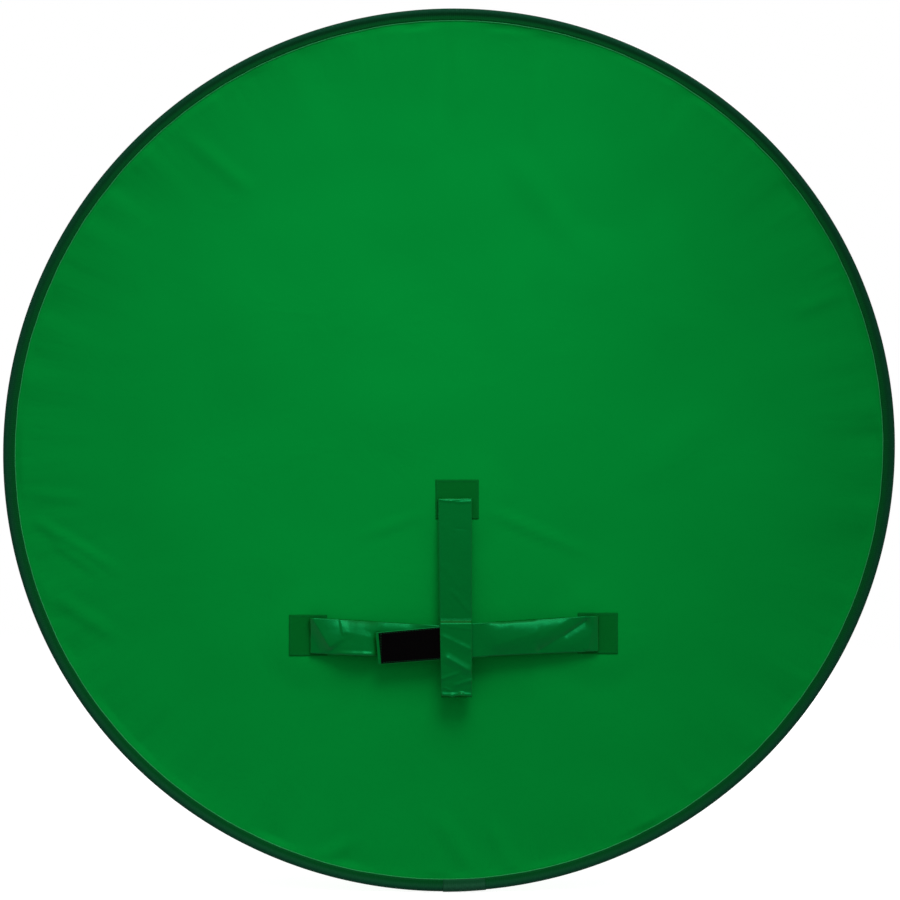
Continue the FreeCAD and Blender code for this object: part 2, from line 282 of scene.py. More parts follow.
    def surface(
        self,
        colour: Socket,
        roughness: float | Socket,
        normal: Socket | None = None,
        specular: float = 0.5,
        gloss_tint: Colour = (1.0, 1.0, 1.0),
        metallic: float = 0.0,
    ) -> bpy.types.Material:
        """Finish a material with a plain surface.

        Args:
            colour: Its colour.
            roughness: How dull it is.
            normal: The normal of its bumps.
            specular: How much it shines.
            gloss_tint: The colour of that shine.
            metallic: 1 for metal.

        Returns:
            The material.
        """
        inputs = {"Base Color": colour, "Roughness": roughness, "Metallic": metallic}
        inputs.update({"Specular IOR Level": specular, "Specular Tint": opaque(gloss_tint)})
        if normal is not None:
            inputs["Normal"] = normal
        self.finish(self.add("BsdfPrincipled", inputs).outputs["BSDF"])
        return self.owner


@dataclass(frozen=True)
class RimPuckers:
    """Fine radial puckers where the binding gathers the edge of a round cloth."""

    centre: Colour = (-0.012, 0.0, 0.077)
    radius: float = 0.69
    reach: float = 0.15
    width: float = 0.03
    length: float = 0.16
    depth: float = 0.0017

    def add(self, nodes: Nodes, normal: Socket) -> Socket:
        """Add the puckers over another bump.

        Args:
            nodes: The material's nodes.
            normal: The normal to build on.

        Returns:
            The normal of the puckers.
        """
        offset = nodes.vector("SUBTRACT", nodes.object_place(), self.centre)
        flat = nodes.vector("MULTIPLY", offset, (1.0, 0.0, 1.0))
        reach = nodes.add("VectorMath", {"0": flat}, operation="LENGTH").outputs["Value"]
        unit = nodes.add("VectorMath", {"0": flat}, operation="NORMALIZE").outputs["Vector"]
        around = nodes.add("VectorMath", {"0": unit, "3": self.radius / self.width}, operation="SCALE")
        rise = nodes.add("CombineXYZ", {"Y": nodes.math("MULTIPLY", reach, 1.0 / self.length)})
        spot = nodes.vector("ADD", around.outputs["Vector"], rise.outputs["Vector"])
        streaks = nodes.noise(spot, scale=1.0, detail=2.0)
        near = nodes.ramp(reach, self.radius - self.reach, self.radius, eased=True)
        return nodes.bump(nodes.math("MULTIPLY", streaks, near), self.depth, normal=normal)


@dataclass(frozen=True)
class ClothFinish:
    """Woven polyester: two crossed sets of threads, soft creases and a slightly uneven dye."""

    name: str
    colour: Colour
    shade: Colour
    roughness: float
    specular: float
    gloss_tint: Colour
    thread_pitch: float
    weave_depth: float
    crease_depth: float
    crease_size: float
    puckers: RimPuckers | None = None
    dye_scale: float = 3.2
    dye_range: tuple[float, float] = (0.32, 0.68)

    def material(self) -> bpy.types.Material:
        """Build the material.

        Returns:
            The cloth's material, whose threads follow the piece's own weave map.
        """
        nodes = Nodes(bpy.data.materials.new(self.name))
        weave = nodes.weave_place()
        place = nodes.object_place()
        dye = nodes.noise(place, self.dye_scale, detail=4.0, roughness=0.55)
        colour = nodes.mix(nodes.ramp(dye, *self.dye_range), self.shade, self.colour)
        warp = nodes.bands(weave, "X", self.thread_pitch, distortion=0.4, detail=1.0)
        weft = nodes.bands(weave, "Y", self.thread_pitch, distortion=0.4, detail=1.0)
        threads = nodes.bump(nodes.math("MULTIPLY", warp, weft), self.weave_depth, strength=0.5)
        creases = nodes.noise(place, 1.0 / self.crease_size, detail=5.0, roughness=0.6, distortion=0.8)
        normal = nodes.bump(creases, self.crease_depth, normal=threads)
        if self.puckers is not None:
            normal = self.puckers.add(nodes, normal)
        return nodes.surface(colour, self.roughness, normal, self.specular, self.gloss_tint)


@dataclass(frozen=True)
class TapeFinish:
    """Ribbed woven tape: close cross ribs, a worn nose greyed by painted sheen, brighter dye inwards."""

    name: str
    # colour is the nose's tone, whose grey is painted sheen; worn_colour gives lighter spots that are wear
    # and painted sheen.
    colour: Colour
    inner_colour: Colour
    worn_colour: Colour
    roughness: float
    specular: float
    gloss_tint: Colour
    rib_pitch: float
    rib_depth: float
    nose: float = 0.004
    inner_edge: float = 0.016
    wear_and_sheen_scale: float = 240.0
    wear_and_sheen_range: tuple[float, float] = (0.45, 0.75)
    most_wear_and_sheen: float = 0.75

    def material(self) -> bpy.types.Material:
        """Build the material.

        Returns:
            The tape's material, whose ribs run across the weave map's first direction.
        """
        nodes = Nodes(bpy.data.materials.new(self.name))
        weave = nodes.weave_place()
        ribs = nodes.bands(weave, "X", self.rib_pitch, distortion=0.6, detail=2.0)
        # Lighter spots on the nose, part wear and part painted sheen, fading out towards the inner edge.
        wear_and_sheen_noise = nodes.noise(weave, self.wear_and_sheen_scale, detail=6.0, roughness=0.7)
        wear_and_sheen_spots = nodes.ramp(wear_and_sheen_noise, *self.wear_and_sheen_range, end=self.most_wear_and_sheen)
        across = nodes.add("SeparateXYZ", {"Vector": weave}).outputs["Y"]
        depth = nodes.math("MODULO", across, BACK_OFFSET)
        inward = nodes.ramp(depth, self.nose, self.inner_edge)
        wear_and_sheen_share = nodes.math("MULTIPLY", wear_and_sheen_spots, nodes.math("SUBTRACT", 1.0, inward))
        # From the nose's grey painted sheen to the tape's own green at its inner edge.
        ground = nodes.mix(inward, self.colour, self.inner_colour)
        colour = nodes.mix(wear_and_sheen_share, ground, self.worn_colour)
        normal = nodes.bump(ribs, self.rib_depth, strength=0.8)
        return nodes.surface(colour, self.roughness, normal, self.specular, self.gloss_tint)


@dataclass(frozen=True)
class PileFinish:
    """A fastening tape's nylon: tiny speckled hooks or loops on a dull ground."""

    name: str
    colour: Colour
    tip_colour: Colour
    roughness: float
    specular: float
    grain: float
    depth: float
    tip_range: tuple[float, float] = (0.45, 0.1)

    def material(self) -> bpy.types.Material:
        """Build the material.

        Returns:
            The fastening tape's material.
        """
        nodes = Nodes(bpy.data.materials.new(self.name))
        grid = {"Vector": nodes.object_place(), "Scale": 1.0 / self.grain, "Randomness": 0.6}
        grains = nodes.add("TexVoronoi", grid).outputs["Distance"]
        tips = nodes.ramp(grains, *self.tip_range)
        colour = nodes.mix(tips, self.colour, self.tip_colour)
        normal = nodes.bump(tips, self.depth, strength=0.7)
        return nodes.surface(colour, self.roughness, normal, self.specular)


@dataclass(frozen=True)
class ThreadFinish:
    """Twisted sewing thread."""

    name: str
    colour: Colour
    worn_colour: Colour
    roughness: float = 0.6
    specular: float = 0.05
    twist_scale: float = 900.0
    twist_depth: float = 0.0002

    def material(self) -> bpy.types.Material:
        """Build the material.

        Returns:
            The thread's material.
        """
        nodes = Nodes(bpy.data.materials.new(self.name))
        twist = nodes.noise(nodes.object_place(), self.twist_scale, detail=2.0)
        colour = nodes.mix(twist, self.colour, self.worn_colour)
        normal = nodes.bump(twist, self.twist_depth)
        return nodes.surface(colour, self.roughness, normal, self.specular, self.worn_colour)


@dataclass(frozen=True)
class MetalFinish:
    """Rolled metal with fine marks, for the hoop and its ferrule inside the binding."""

    name: str
    colour: Colour
    mark_colour: Colour
    roughness: float
    marks_add: float = 0.2
    mark_scale: float = 140.0

    def material(self) -> bpy.types.Material:
        """Build the material.

        Returns:
            The metal's material.
        """
        nodes = Nodes(bpy.data.materials.new(self.name))
        marks = nodes.noise(nodes.object_place(), self.mark_scale, detail=5.0, roughness=0.7)
        colour = nodes.mix(marks, self.colour, self.mark_colour)
        roughness = nodes.ramp(marks, 0.0, 1.0, self.roughness, self.roughness + self.marks_add)
        return nodes.surface(colour, roughness, metallic=1.0)


Finish = ClothFinish | TapeFinish | PileFinish | ThreadFinish | MetalFinish

SCREEN_CLOTH = ClothFinish(
    name="screen_cloth_green",
    colour=(0.0005, 0.212, 0.0275),
    shade=(0.0005, 0.203, 0.0258),
    roughness=0.9,
    specular=0.03,
    gloss_tint=(0.0, 1.0, 0.4),
    thread_pitch=0.0009,
    weave_depth=0.00006,
    crease_depth=0.0016,
    crease_size=0.13,
    puckers=RimPuckers(),
)
STRAP_CLOTH = ClothFinish(
    name="strap_cloth_satin",
    colour=(0.0002, 0.080, 0.0070),
    shade=(0.0002, 0.073, 0.0061),
    roughness=0.35,
    specular=0.44,
    gloss_tint=(0.008, 1.0, 0.34),
    thread_pitch=0.0008,
    weave_depth=0.00004,
    crease_depth=0.0009,
    crease_size=0.045,
)
PATCH_CLOTH = ClothFinish(
    name="patch_cloth_doubled",
    colour=(0.0008, 0.103, 0.0128),
    shade=(0.0008, 0.094, 0.0112),
    roughness=0.85,
    specular=0.06,
    gloss_tint=(0.0, 1.0, 0.4),
    thread_pitch=0.0008,
    weave_depth=0.00006,
    crease_depth=0.0009,
    crease_size=0.03,
)
# The nose colour and worn_colour are greyer and lighter than the tape's own green: painted sheen on the
# rounded nose, with some wear.
BINDING_TAPE = TapeFinish(
    name="binding_tape_ribbed",
    colour=(0.0024, 0.033, 0.0145),
    inner_colour=(0.0001, 0.058, 0.0085),
    worn_colour=(0.007, 0.052, 0.023),
    roughness=0.6,
    specular=0.07,
    gloss_tint=(0.25, 1.0, 0.6),
    rib_pitch=0.0016,
    rib_depth=0.00025,
)
# The lap's lighter worn_colour is likewise wear and painted sheen on its nose.
LAPPED_TAPE = TapeFinish(
    name="binding_tape_lapped",
    colour=(0.004, 0.034, 0.016),
    inner_colour=(0.002, 0.05, 0.014),
    worn_colour=(0.012, 0.066, 0.032),
    roughness=0.6,
    specular=0.15,
    gloss_tint=(0.3, 1.0, 0.6),
    rib_pitch=0.0016,
    rib_depth=0.00025,
)
HOOK_NYLON = PileFinish(
    name="hook_nylon_black",
    colour=(0.0008, 0.0006, 0.0007),
    tip_colour=(0.0016, 0.0011, 0.0012),
    roughness=0.75,
    specular=0.015,
    grain=0.0016,
    depth=0.0004,
)
LOOP_NYLON = PileFinish(
    name="loop_nylon_black",
    colour=(0.0012, 0.0012, 0.0013),
    tip_colour=(0.006, 0.006, 0.0065),
    roughness=0.95,
    specular=0.05,
    grain=0.0022,
    depth=0.0007,
)
GREEN_THREAD = ThreadFinish(
    name="thread_green", colour=(0.001, 0.095, 0.016), worn_colour=(0.005, 0.16, 0.04)
)
# A light, bluish green edge thread: partly the tape's raised edge, partly a painted highlight along the
# binding's inner edge.
SELVEDGE_THREAD_AND_HIGHLIGHT = ThreadFinish(
    name="thread_selvedge", colour=(0.011, 0.20, 0.052), worn_colour=(0.032, 0.29, 0.095)
)
DARK_THREAD = ThreadFinish(
    name="thread_dark_green", colour=(0.001, 0.05, 0.014), worn_colour=(0.006, 0.1, 0.034)
)
SPRING_STEEL = MetalFinish(
    name="spring_steel_rolled", colour=(0.42, 0.42, 0.43), mark_colour=(0.3, 0.3, 0.31), roughness=0.3
)
FERRULE_METAL = MetalFinish(
    name="ferrule_drawn", colour=(0.62, 0.62, 0.63), mark_colour=(0.5, 0.5, 0.5), roughness=0.38
)


# Mesh building


def smooth_step(value: float) -> float:
    """Ease a value from 0 to 1, flat at both ends."""
    share = min(max(value, 0.0), 1.0)
    return share * share * (3.0 - 2.0 * share)


def rim_noise(angle: float, waves: float, seed: float) -> float:
    """Uneven waves round the rim, which join where they meet.

    Args:
        angle: Direction in radians.
        waves: How fine the waves are.
        seed: Which set of waves it is.

    Returns:
        A value on either side of 0.
    """
    return noise.noise((math.cos(angle) * waves, math.sin(angle) * waves, seed))


def unit_grid(columns: int, rows: int) -> bmesh.types.BMesh:
    """Make a flat grid of quads from 0 to 1 both ways, whose faces point along +Z.

    Args:
        columns: Number of cells along X.
        rows: Number of cells along Y.

    Returns:
        The new mesh.
    """
    mesh = bmesh.new()
    bmesh.ops.create_grid(mesh, x_segments=columns, y_segments=rows, size=0.5)
    bmesh.ops.translate(mesh, verts=mesh.verts, vec=(0.5, 0.5, 0.0))
    return mesh


def map_weave(mesh: bmesh.types.BMesh, place: Callable[[Vector], tuple[float, float]]) -> None:
    """Write the weave map of a mesh, in metres along the cloth.

    Args:
        mesh: The mesh, before its vertices are moved to their place.
        place: Gives the two map values of a vertex position.
    """
    layer = mesh.loops.layers.uv.new(WEAVE_MAP)
    for face in mesh.faces:
        for loop in face.loops:
            loop[layer].uv = place(loop.vert.co)


def to_object(mesh: bmesh.types.BMesh, name: str, finish: Finish, smooth: bool = True) -> bpy.types.Object:
    """Turn a finished mesh into an object of the scene.

    Args:
        mesh: The mesh, which is freed.
        name: The piece's name.
        finish: The finish that gives its material.
        smooth: Whether its faces are shaded smooth.

    Returns:
        The new object, at the origin.
    """
    for face in mesh.faces:
        face.smooth = smooth
    data = bpy.data.meshes.new(name)
    mesh.to_mesh(data)
    mesh.free()
    data.materials.append(material_of(finish))
    piece = bpy.data.objects.new(name, data)
    bpy.context.scene.collection.objects.link(piece)
    return piece


_materials: dict[str, bpy.types.Material] = {}


def material_of(finish: Finish) -> bpy.types.Material:
    """Build a finish's material once and give it to every piece that asks.

    Args:
        finish: The finish.

    Returns:
        Its material.
    """
    if finish.name not in _materials:
        _materials[finish.name] = finish.material()
    return _materials[finish.name]


def give_thickness(piece: bpy.types.Object, thickness: float) -> None:
    """Close a sheet with a wall of even thickness about its middle.

    Args:
        piece: The sheet.
        thickness: The wall's thickness.
    """
    wall = piece.modifiers.new("Wall", "SOLIDIFY")
    wall.thickness = thickness
    wall.offset = 0.0
    wall.use_even_offset = True


def report(piece: bpy.types.Object) -> None:
    """Log one finished piece."""
    log.info("%s: %d faces", piece.name, len(piece.data.polygons))


# The screen's outline and its cloth


@dataclass(frozen=True)
class Outline:
    """The outline of the screen: an oval, because the hoop doesn't spring quite round."""

    diameter: float = 1.420
    out_of_round: float = 0.010
    long_axis: float = 22.0
    centre_x: float = -0.012
    centre_z: float = 0.077

    def reach(self, angle: float) -> float:
        """Distance from the centre to the outline.

        Args:
            angle: Direction in radians, from +X towards +Z.

        Returns:
            The distance.
        """
        turn = angle - math.radians(self.long_axis)
        long_half = (self.diameter + self.out_of_round) / 2
        short_half = (self.diameter - self.out_of_round) / 2
        return 1.0 / math.hypot(math.cos(turn) / long_half, math.sin(turn) / short_half)

    def point(self, angle: float, inset: float, height: float) -> Vector:
        """A point beside the outline.

        Args:
            angle: Direction in radians, from +X towards +Z.
            inset: Distance in from the outline.
            height: Place across the cloth, towards its back.

        Returns:
            The point.
        """
        reach = self.reach(angle) - inset
        return Vector(
            (self.centre_x + reach * math.cos(angle), height, self.centre_z + reach * math.sin(angle))
        )

    def angle_and_inset(self, x: float, z: float) -> tuple[float, float]:
        """Where a point lies against the outline.

        Args:
            x: Place across the screen.
            z: Height on the screen.

        Returns:
            Its direction in radians and its distance in from the outline.
        """
        across = x - self.centre_x
        up = z - self.centre_z
        angle = math.atan2(up, across)
        return angle, self.reach(angle) - math.hypot(across, up)


@dataclass(frozen=True)
class Pull:
    """One soft pull line in the stretched cloth, between two points (x, z) of the screen."""

    start: tuple[float, float]
    end: tuple[float, float]
    height: float
    width: float
    overrun: float = 0.3
    fade_in: float = 0.5
    fade_out: float = 0.7
    trough: float = 0.6
    widths_out: float = 4.0

    def lift(self, x: float, z: float) -> float:
        """How far the pull raises the cloth towards the front at a point.

        Args:
            x: Place across the screen.
            z: Height on the screen.

        Returns:
            The distance.
        """
        run_x = self.end[0] - self.start[0]
        run_z = self.end[1] - self.start[1]
        length = math.hypot(run_x, run_z)
        along = ((x - self.start[0]) * run_x + (z - self.start[1]) * run_z) / length
        across = ((x - self.start[0]) * run_z - (z - self.start[1]) * run_x) / length
        share = along / length
        before = share + self.overrun
        after = 1.0 + self.overrun - share
        if before <= 0.0 or after <= 0.0 or abs(across) > self.widths_out * self.width:
            return 0.0
        fade = smooth_step(before / self.fade_in) * smooth_step(after / self.fade_out)
        ratio = across / self.width
        return self.height * fade * (1.0 - self.trough * ratio * ratio) * math.exp(-ratio * ratio / 2)


@dataclass
class ScreenCloth:
    """The stretched green cloth, with its pulls, the puckers along its rim and its flat sewn places."""

    outline: Outline
    cells: int = 200
    crowding: float = 0.3
    thickness: float = 0.0008
    middle: float = 0.0004
    edge_inset: float = 0.009
    covered: float = 0.019
    rim_calm: float = 0.014
    flat_radius: float = 0.06
    flat_core: float = 0.6
    swell: float = 0.0055
    swell_waves: float = 3.1
    swell_seed: float = 4.2
    ripple: float = 0.0026
    ripple_waves: float = 9.0
    ripple_seed: float = 8.7
    pucker: float = 0.0045
    pucker_waves: float = 16.0
    pucker_drift: float = 5.0
    fine_pucker: float = 0.0015
    fine_pucker_waves: float = 38.0
    fine_pucker_drift: float = 9.0
    fine_pucker_seed: float = 2.0
    pucker_reach: float = 0.055
    sag: float = 0.0030
    sag_reach: float = 0.012
    pull_gain: float = 3.0
    pulls: tuple[Pull, ...] = (
        Pull((-0.66, -0.045), (-0.555, -0.11), 0.0010, 0.008),
        Pull((-0.64, -0.075), (-0.575, -0.118), 0.0008, 0.007),
        Pull((-0.67, 0.004), (-0.60, 0.0), 0.0006, 0.009),
        Pull((-0.632, -0.165), (-0.55, -0.22), 0.0007, 0.011),
        Pull((-0.235, -0.585), (-0.165, -0.55), 0.0007, 0.012),
        Pull((-0.02, -0.52), (0.02, -0.595), 0.0008, 0.013),
        Pull((0.06, -0.53), (0.09, -0.6), 0.0006, 0.012),
        Pull((-0.055, -0.026), (-0.15, -0.06), 0.0006, 0.006),
        Pull((0.05, -0.02), (0.2, -0.085), 0.0008, 0.007),
        Pull((0.1, 0.53), (0.2, 0.4), 0.0007, 0.022),
        Pull((0.16, 0.45), (0.13, 0.33), 0.0006, 0.02),
        Pull((0.33, 0.42), (0.36, 0.25), 0.0006, 0.03),
        Pull((0.40, 0.12), (0.30, 0.03), 0.0006, 0.03),
        Pull((0.55, 0.3), (0.62, 0.33), 0.0007, 0.010),
        Pull((-0.34, 0.5), (-0.42, 0.57), 0.0008, 0.011),
        Pull((0.0, 0.62), (0.01, 0.72), 0.0007, 0.013),
        Pull((0.12, 0.6), (0.135, 0.7), 0.0007, 0.010),
        Pull((-0.080, 0.755), (-0.046, 0.757), -0.0009, 0.006),
        Pull((0.058, 0.756), (0.118, 0.751), -0.0010, 0.006),
    )
    sewn_places: tuple[tuple[float, float], ...] = ((0.0, -0.002), (-0.23, -0.22), (0.225, -0.217))

    def lift(self, x: float, z: float) -> float:
        """How far the cloth stands towards the front at a point.

        Args:
            x: Place across the screen.
            z: Height on the screen.

        Returns:
            The distance, which is 0 on the sewn places and in the binding.
        """
        angle, inset = self.outline.angle_and_inset(x, z)
        inside = inset - self.covered
        if inside <= 0.0:
            return 0.0
        lift = self.pull_gain * sum(pull.lift(x, z) for pull in self.pulls)
        lift += self.swell * noise.noise((x * self.swell_waves, z * self.swell_waves, self.swell_seed))
        lift += self.ripple * noise.noise((x * self.ripple_waves, z * self.ripple_waves, self.ripple_seed))
        pucker = rim_noise(angle, self.pucker_waves, inside * self.pucker_drift)
        fine_drift = self.fine_pucker_seed + inside * self.fine_pucker_drift
        fine_pucker = rim_noise(angle, self.fine_pucker_waves, fine_drift)
        near_rim = math.exp(-inside / self.pucker_reach)
        lift += near_rim * (self.pucker * pucker + self.fine_pucker * fine_pucker)
        lift *= smooth_step(inside / self.rim_calm)
        lift -= self.sag * (1.0 - math.exp(-inside / self.sag_reach))
        for place in self.sewn_places:
            gap = math.hypot(x - place[0], z - place[1])
            lift *= smooth_step((gap - self.flat_radius * self.flat_core) / self.flat_radius)
        return lift

    def crowd(self, value: float) -> float:
        """Draw the grid's lines closer together towards the rim, where the puckers are."""
        return value * (1.0 + self.crowding - self.crowding * value * value)

    def build(self) -> None:
        """Build the cloth from a grid that is drawn round into a disc."""
        mesh = unit_grid(self.cells, self.cells)
        map_weave(mesh, lambda spot: (spot.x * self.outline.diameter, spot.y * self.outline.diameter))
        centre = Vector((self.outline.centre_x, 0.0, self.outline.centre_z))
        for vertex in mesh.verts:
            a = self.crowd(2.0 * vertex.co.x - 1.0)
            b = self.crowd(2.0 * vertex.co.y - 1.0)
            across = a * math.sqrt(1.0 - b * b / 2.0)
            up = b * math.sqrt(1.0 - a * a / 2.0)
            edge = self.outline.point(math.atan2(up, across), self.edge_inset, 0.0)
            spot = centre + (edge - centre) * math.hypot(across, up)
            vertex.co = Vector((spot.x, self.middle - self.lift(spot.x, spot.z), spot.z))
        piece = to_object(mesh, "stretched_cloth", SCREEN_CLOTH)
        give_thickness(piece, self.thickness)
        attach(piece, "screen")
        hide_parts("screen_cloth")
        report(piece)


# Binding


@dataclass
class Binding:
    """The tape that is folded over the hoop and sewn through the edge of the cloth."""

    outline: Outline
    steps: int = 540
    hoop_depth: float = 0.005144
    pocket_radius: float = 0.004344
    tape: float = 0.0008
    clamp_depth: float = 0.012
    width: float = 0.019
    middle: float = 0.0004
    hollow: float = 0.0004
    nose_steps: int = 12
    edge_radius: float = 0.0009
    edge_sides: int = 6
    edge_steps: int = 900
    edge_rise: float = 0.2
    sewn_blend: float = 0.004
    wobble: float = 0.0007
    wobble_waves: float = 22.0
    wobble_seed: float = 3.0
    gather: float = 0.0003
    gather_waves: float = 75.0
    gather_seed: float = 7.0
    sewn_swell: float = 0.00018
    nose_swell: float = 0.00022
    lap_arc: tuple[float, float] = (269.2, 274.8)
    lap_fineness: int = 3
    hollow_steps: tuple[float, ...] = (0.33, 0.67)

    def face_line(self, offset: float) -> list[tuple[float, float]]:
        """One face of the folded tape, from its front edge round the nose to its back edge.

        Args:
            offset: Distance of the face from the hoop pocket.

        Returns:
            Points as depth in from the outline and height off the middle, towards the front first.
        """
        radius = self.pocket_radius + offset
        height = self.middle + offset
        along = self.clamp_depth - self.hoop_depth
        start = math.atan2(height, along) + math.acos(radius / math.hypot(along, height))
        touch = (self.hoop_depth + radius * math.cos(start), radius * math.sin(start))
        clamp = (self.clamp_depth, height)
        side = [(self.width, height), ((self.width + self.clamp_depth) / 2, height), clamp]
        for share in self.hollow_steps:
            depth = clamp[0] + (touch[0] - clamp[0]) * share
            rise = clamp[1] + (touch[1] - clamp[1]) * share
            side.append((depth, rise - self.hollow * math.sin(math.pi * share)))
        side.append(touch)
        nose = []
        for step in range(1, self.nose_steps):
            angle = start + 2 * (math.pi - start) * step / self.nose_steps
            nose.append((self.hoop_depth + radius * math.cos(angle), radius * math.sin(angle)))
        return side + nose + [(depth, -rise) for depth, rise in reversed(side)]

    def section(self, inner: float, outer: float) -> list[tuple[float, float]]:
        """The closed section of the tape between two offsets from the pocket."""
        return self.face_line(outer) + list(reversed(self.face_line(inner)))

    def ring(
        self, name: str, inner: float, outer: float, angles: tuple[float, float], finish: TapeFinish
    ) -> bpy.types.Object:
        """Spin the tape's section about the screen's middle.

        Args:
            name: The piece's name.
            inner: Offset of the tape's inner face from the pocket.
            outer: Offset of its outer face.
            angles: Start and end of the arc in degrees; a whole turn closes it.
            finish: The tape's finish.

        Returns:
            The tape.
        """
        mesh = bmesh.new()
        points = self.section(inner, outer)
        reach = self.outline.diameter / 2
        start, end = (math.radians(angle) for angle in angles)
        closed = abs(end - start - math.tau) < MERGE_REACH
        corners = [mesh.verts.new((reach - depth, -rise, 0.0)) for depth, rise in points]
        loop = [mesh.edges.new((corners[i - 1], corners[i])) for i in range(len(corners))]
        steps = round(self.steps * (end - start) / math.tau)
        if not closed:
            loop.append(mesh.faces.new(corners))
            steps *= self.lap_fineness
        bmesh.ops.rotate(mesh, verts=mesh.verts, cent=(0, 0, 0), matrix=Matrix.Rotation(-start, 3, "Y"))
        self.spin(mesh, corners + loop, end - start, steps)
        self.map_ring(mesh, reach)
        for vertex in mesh.verts:
            self.settle(vertex, reach)
        return to_object(mesh, name, finish)

    def spin(self, mesh: bmesh.types.BMesh, section: list[object], angle: float, steps: int) -> None:
        """Sweep a section round the screen's middle and close the mesh that it makes.

        Args:
            mesh: The mesh that holds the section.
            section: The section's vertices, edges and, where it ends open, its face.
            angle: The arc in radians.
            steps: The number of steps.
        """
        closed = abs(angle - math.tau) < MERGE_REACH
        bmesh.ops.spin(
            mesh,
            geom=section,
            cent=(0, 0, 0),
            axis=(0, -1, 0),
            angle=angle,
            steps=steps,
            use_merge=closed,
        )
        bmesh.ops.remove_doubles(mesh, verts=mesh.verts, dist=MERGE_REACH)
        bmesh.ops.recalc_face_normals(mesh, faces=mesh.faces)

    def map_ring(self, mesh: bmesh.types.BMesh, reach: float) -> None:
        """Write the weave map: along the rim first, then across the tape.

        Args:
            mesh: The round ring, before it is drawn to the oval.
            reach: The ring's radius.
        """
        layer = mesh.loops.layers.uv.new(WEAVE_MAP)
        for face in mesh.faces:
            middle = face.calc_center_median()
            face_angle = math.atan2(middle.z, middle.x)
            for loop in face.loops:
                spot = loop.vert.co
                angle = math.atan2(spot.z, spot.x)
                if angle - face_angle > math.pi:
                    angle -= math.tau
                if face_angle - angle > math.pi:
                    angle += math.tau
                depth = reach - math.hypot(spot.x, spot.z)
                loop[layer].uv = (angle * reach, depth + (BACK_OFFSET if spot.y > 0 else 0.0))

    def unevenness(self, angle: float, side: float) -> tuple[float, float]:
        """How far the tape's edge strays at a direction, and how its gathers rise there.

        Args:
            angle: Direction in radians.
            side: -1 on the front of the screen and 1 on its back.

        Returns:
            The edge's distance inwards, and the gathers' value on either side of 0.
        """
        wobble = rim_noise(angle, self.wobble_waves, self.wobble_seed * side)
        gather = rim_noise(angle, self.gather_waves, self.gather_seed * side)
        return self.wobble * wobble + self.gather * gather, gather

    def settle(self, vertex: bmesh.types.BMVert, reach: float) -> None:
        """Move a vertex of the round ring to the oval and give the tape its unevenness.

        Args:
            vertex: The vertex.
            reach: The ring's radius.
        """
        angle = math.atan2(vertex.co.z, vertex.co.x)
        depth = reach - math.hypot(vertex.co.x, vertex.co.z)
        height = vertex.co.y
        sewn = smooth_step((depth - self.clamp_depth) / self.sewn_blend)
        side = 1.0 if height > 0 else -1.0
        stray, gather = self.unevenness(angle, side)
        depth += sewn * stray
        height += side * (sewn * self.sewn_swell + (1.0 - sewn) * self.nose_swell) * gather
        vertex.co = self.outline.point(angle, depth, self.middle + height)

    def selvedge(self, face: Face) -> None:
        """Build the raised woven edge that ends the tape on one face of the screen, lighter as a painted
        highlight.

        Args:
            face: The face of the screen.
        """
        mesh = bmesh.new()
        reach = self.outline.diameter / 2
        bmesh.ops.create_circle(mesh, segments=self.edge_sides, radius=self.edge_radius)
        bmesh.ops.translate(mesh, verts=mesh.verts, vec=(reach - self.width - self.edge_radius / 2, 0.0, 0.0))
        self.spin(mesh, mesh.verts[:] + mesh.edges[:], math.tau, self.edge_steps)
        self.map_ring(mesh, reach)
        lift = self.middle + self.edge_radius * self.edge_rise
        for vertex in mesh.verts:
            angle = math.atan2(vertex.co.z, vertex.co.x)
            depth = reach - math.hypot(vertex.co.x, vertex.co.z)
            stray, gather = self.unevenness(angle, face.value)
            height = self.middle + face.value * (lift + self.gather * gather) + vertex.co.y
            vertex.co = self.outline.point(angle, depth + stray, height)
        piece = to_object(mesh, f"binding_selvedge_{face.name.lower()}", SELVEDGE_THREAD_AND_HIGHLIGHT)
        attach(piece, "screen")
        report(piece)

    def build(self) -> None:
        """Build the tape, its lapped end and its woven edges."""
        tape = self.ring("binding_tape", 0.0, self.tape, (0.0, 360.0), BINDING_TAPE)
        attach(tape, "screen")
        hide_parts("edge_binding")
        lap = self.ring("binding_lap", self.tape, 2 * self.tape, self.lap_arc, LAPPED_TAPE)
        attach(lap, "screen")
        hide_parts("binding_overlap")
        report(tape)
        report(lap)
        for face in Face:
            self.selvedge(face)


# Straps


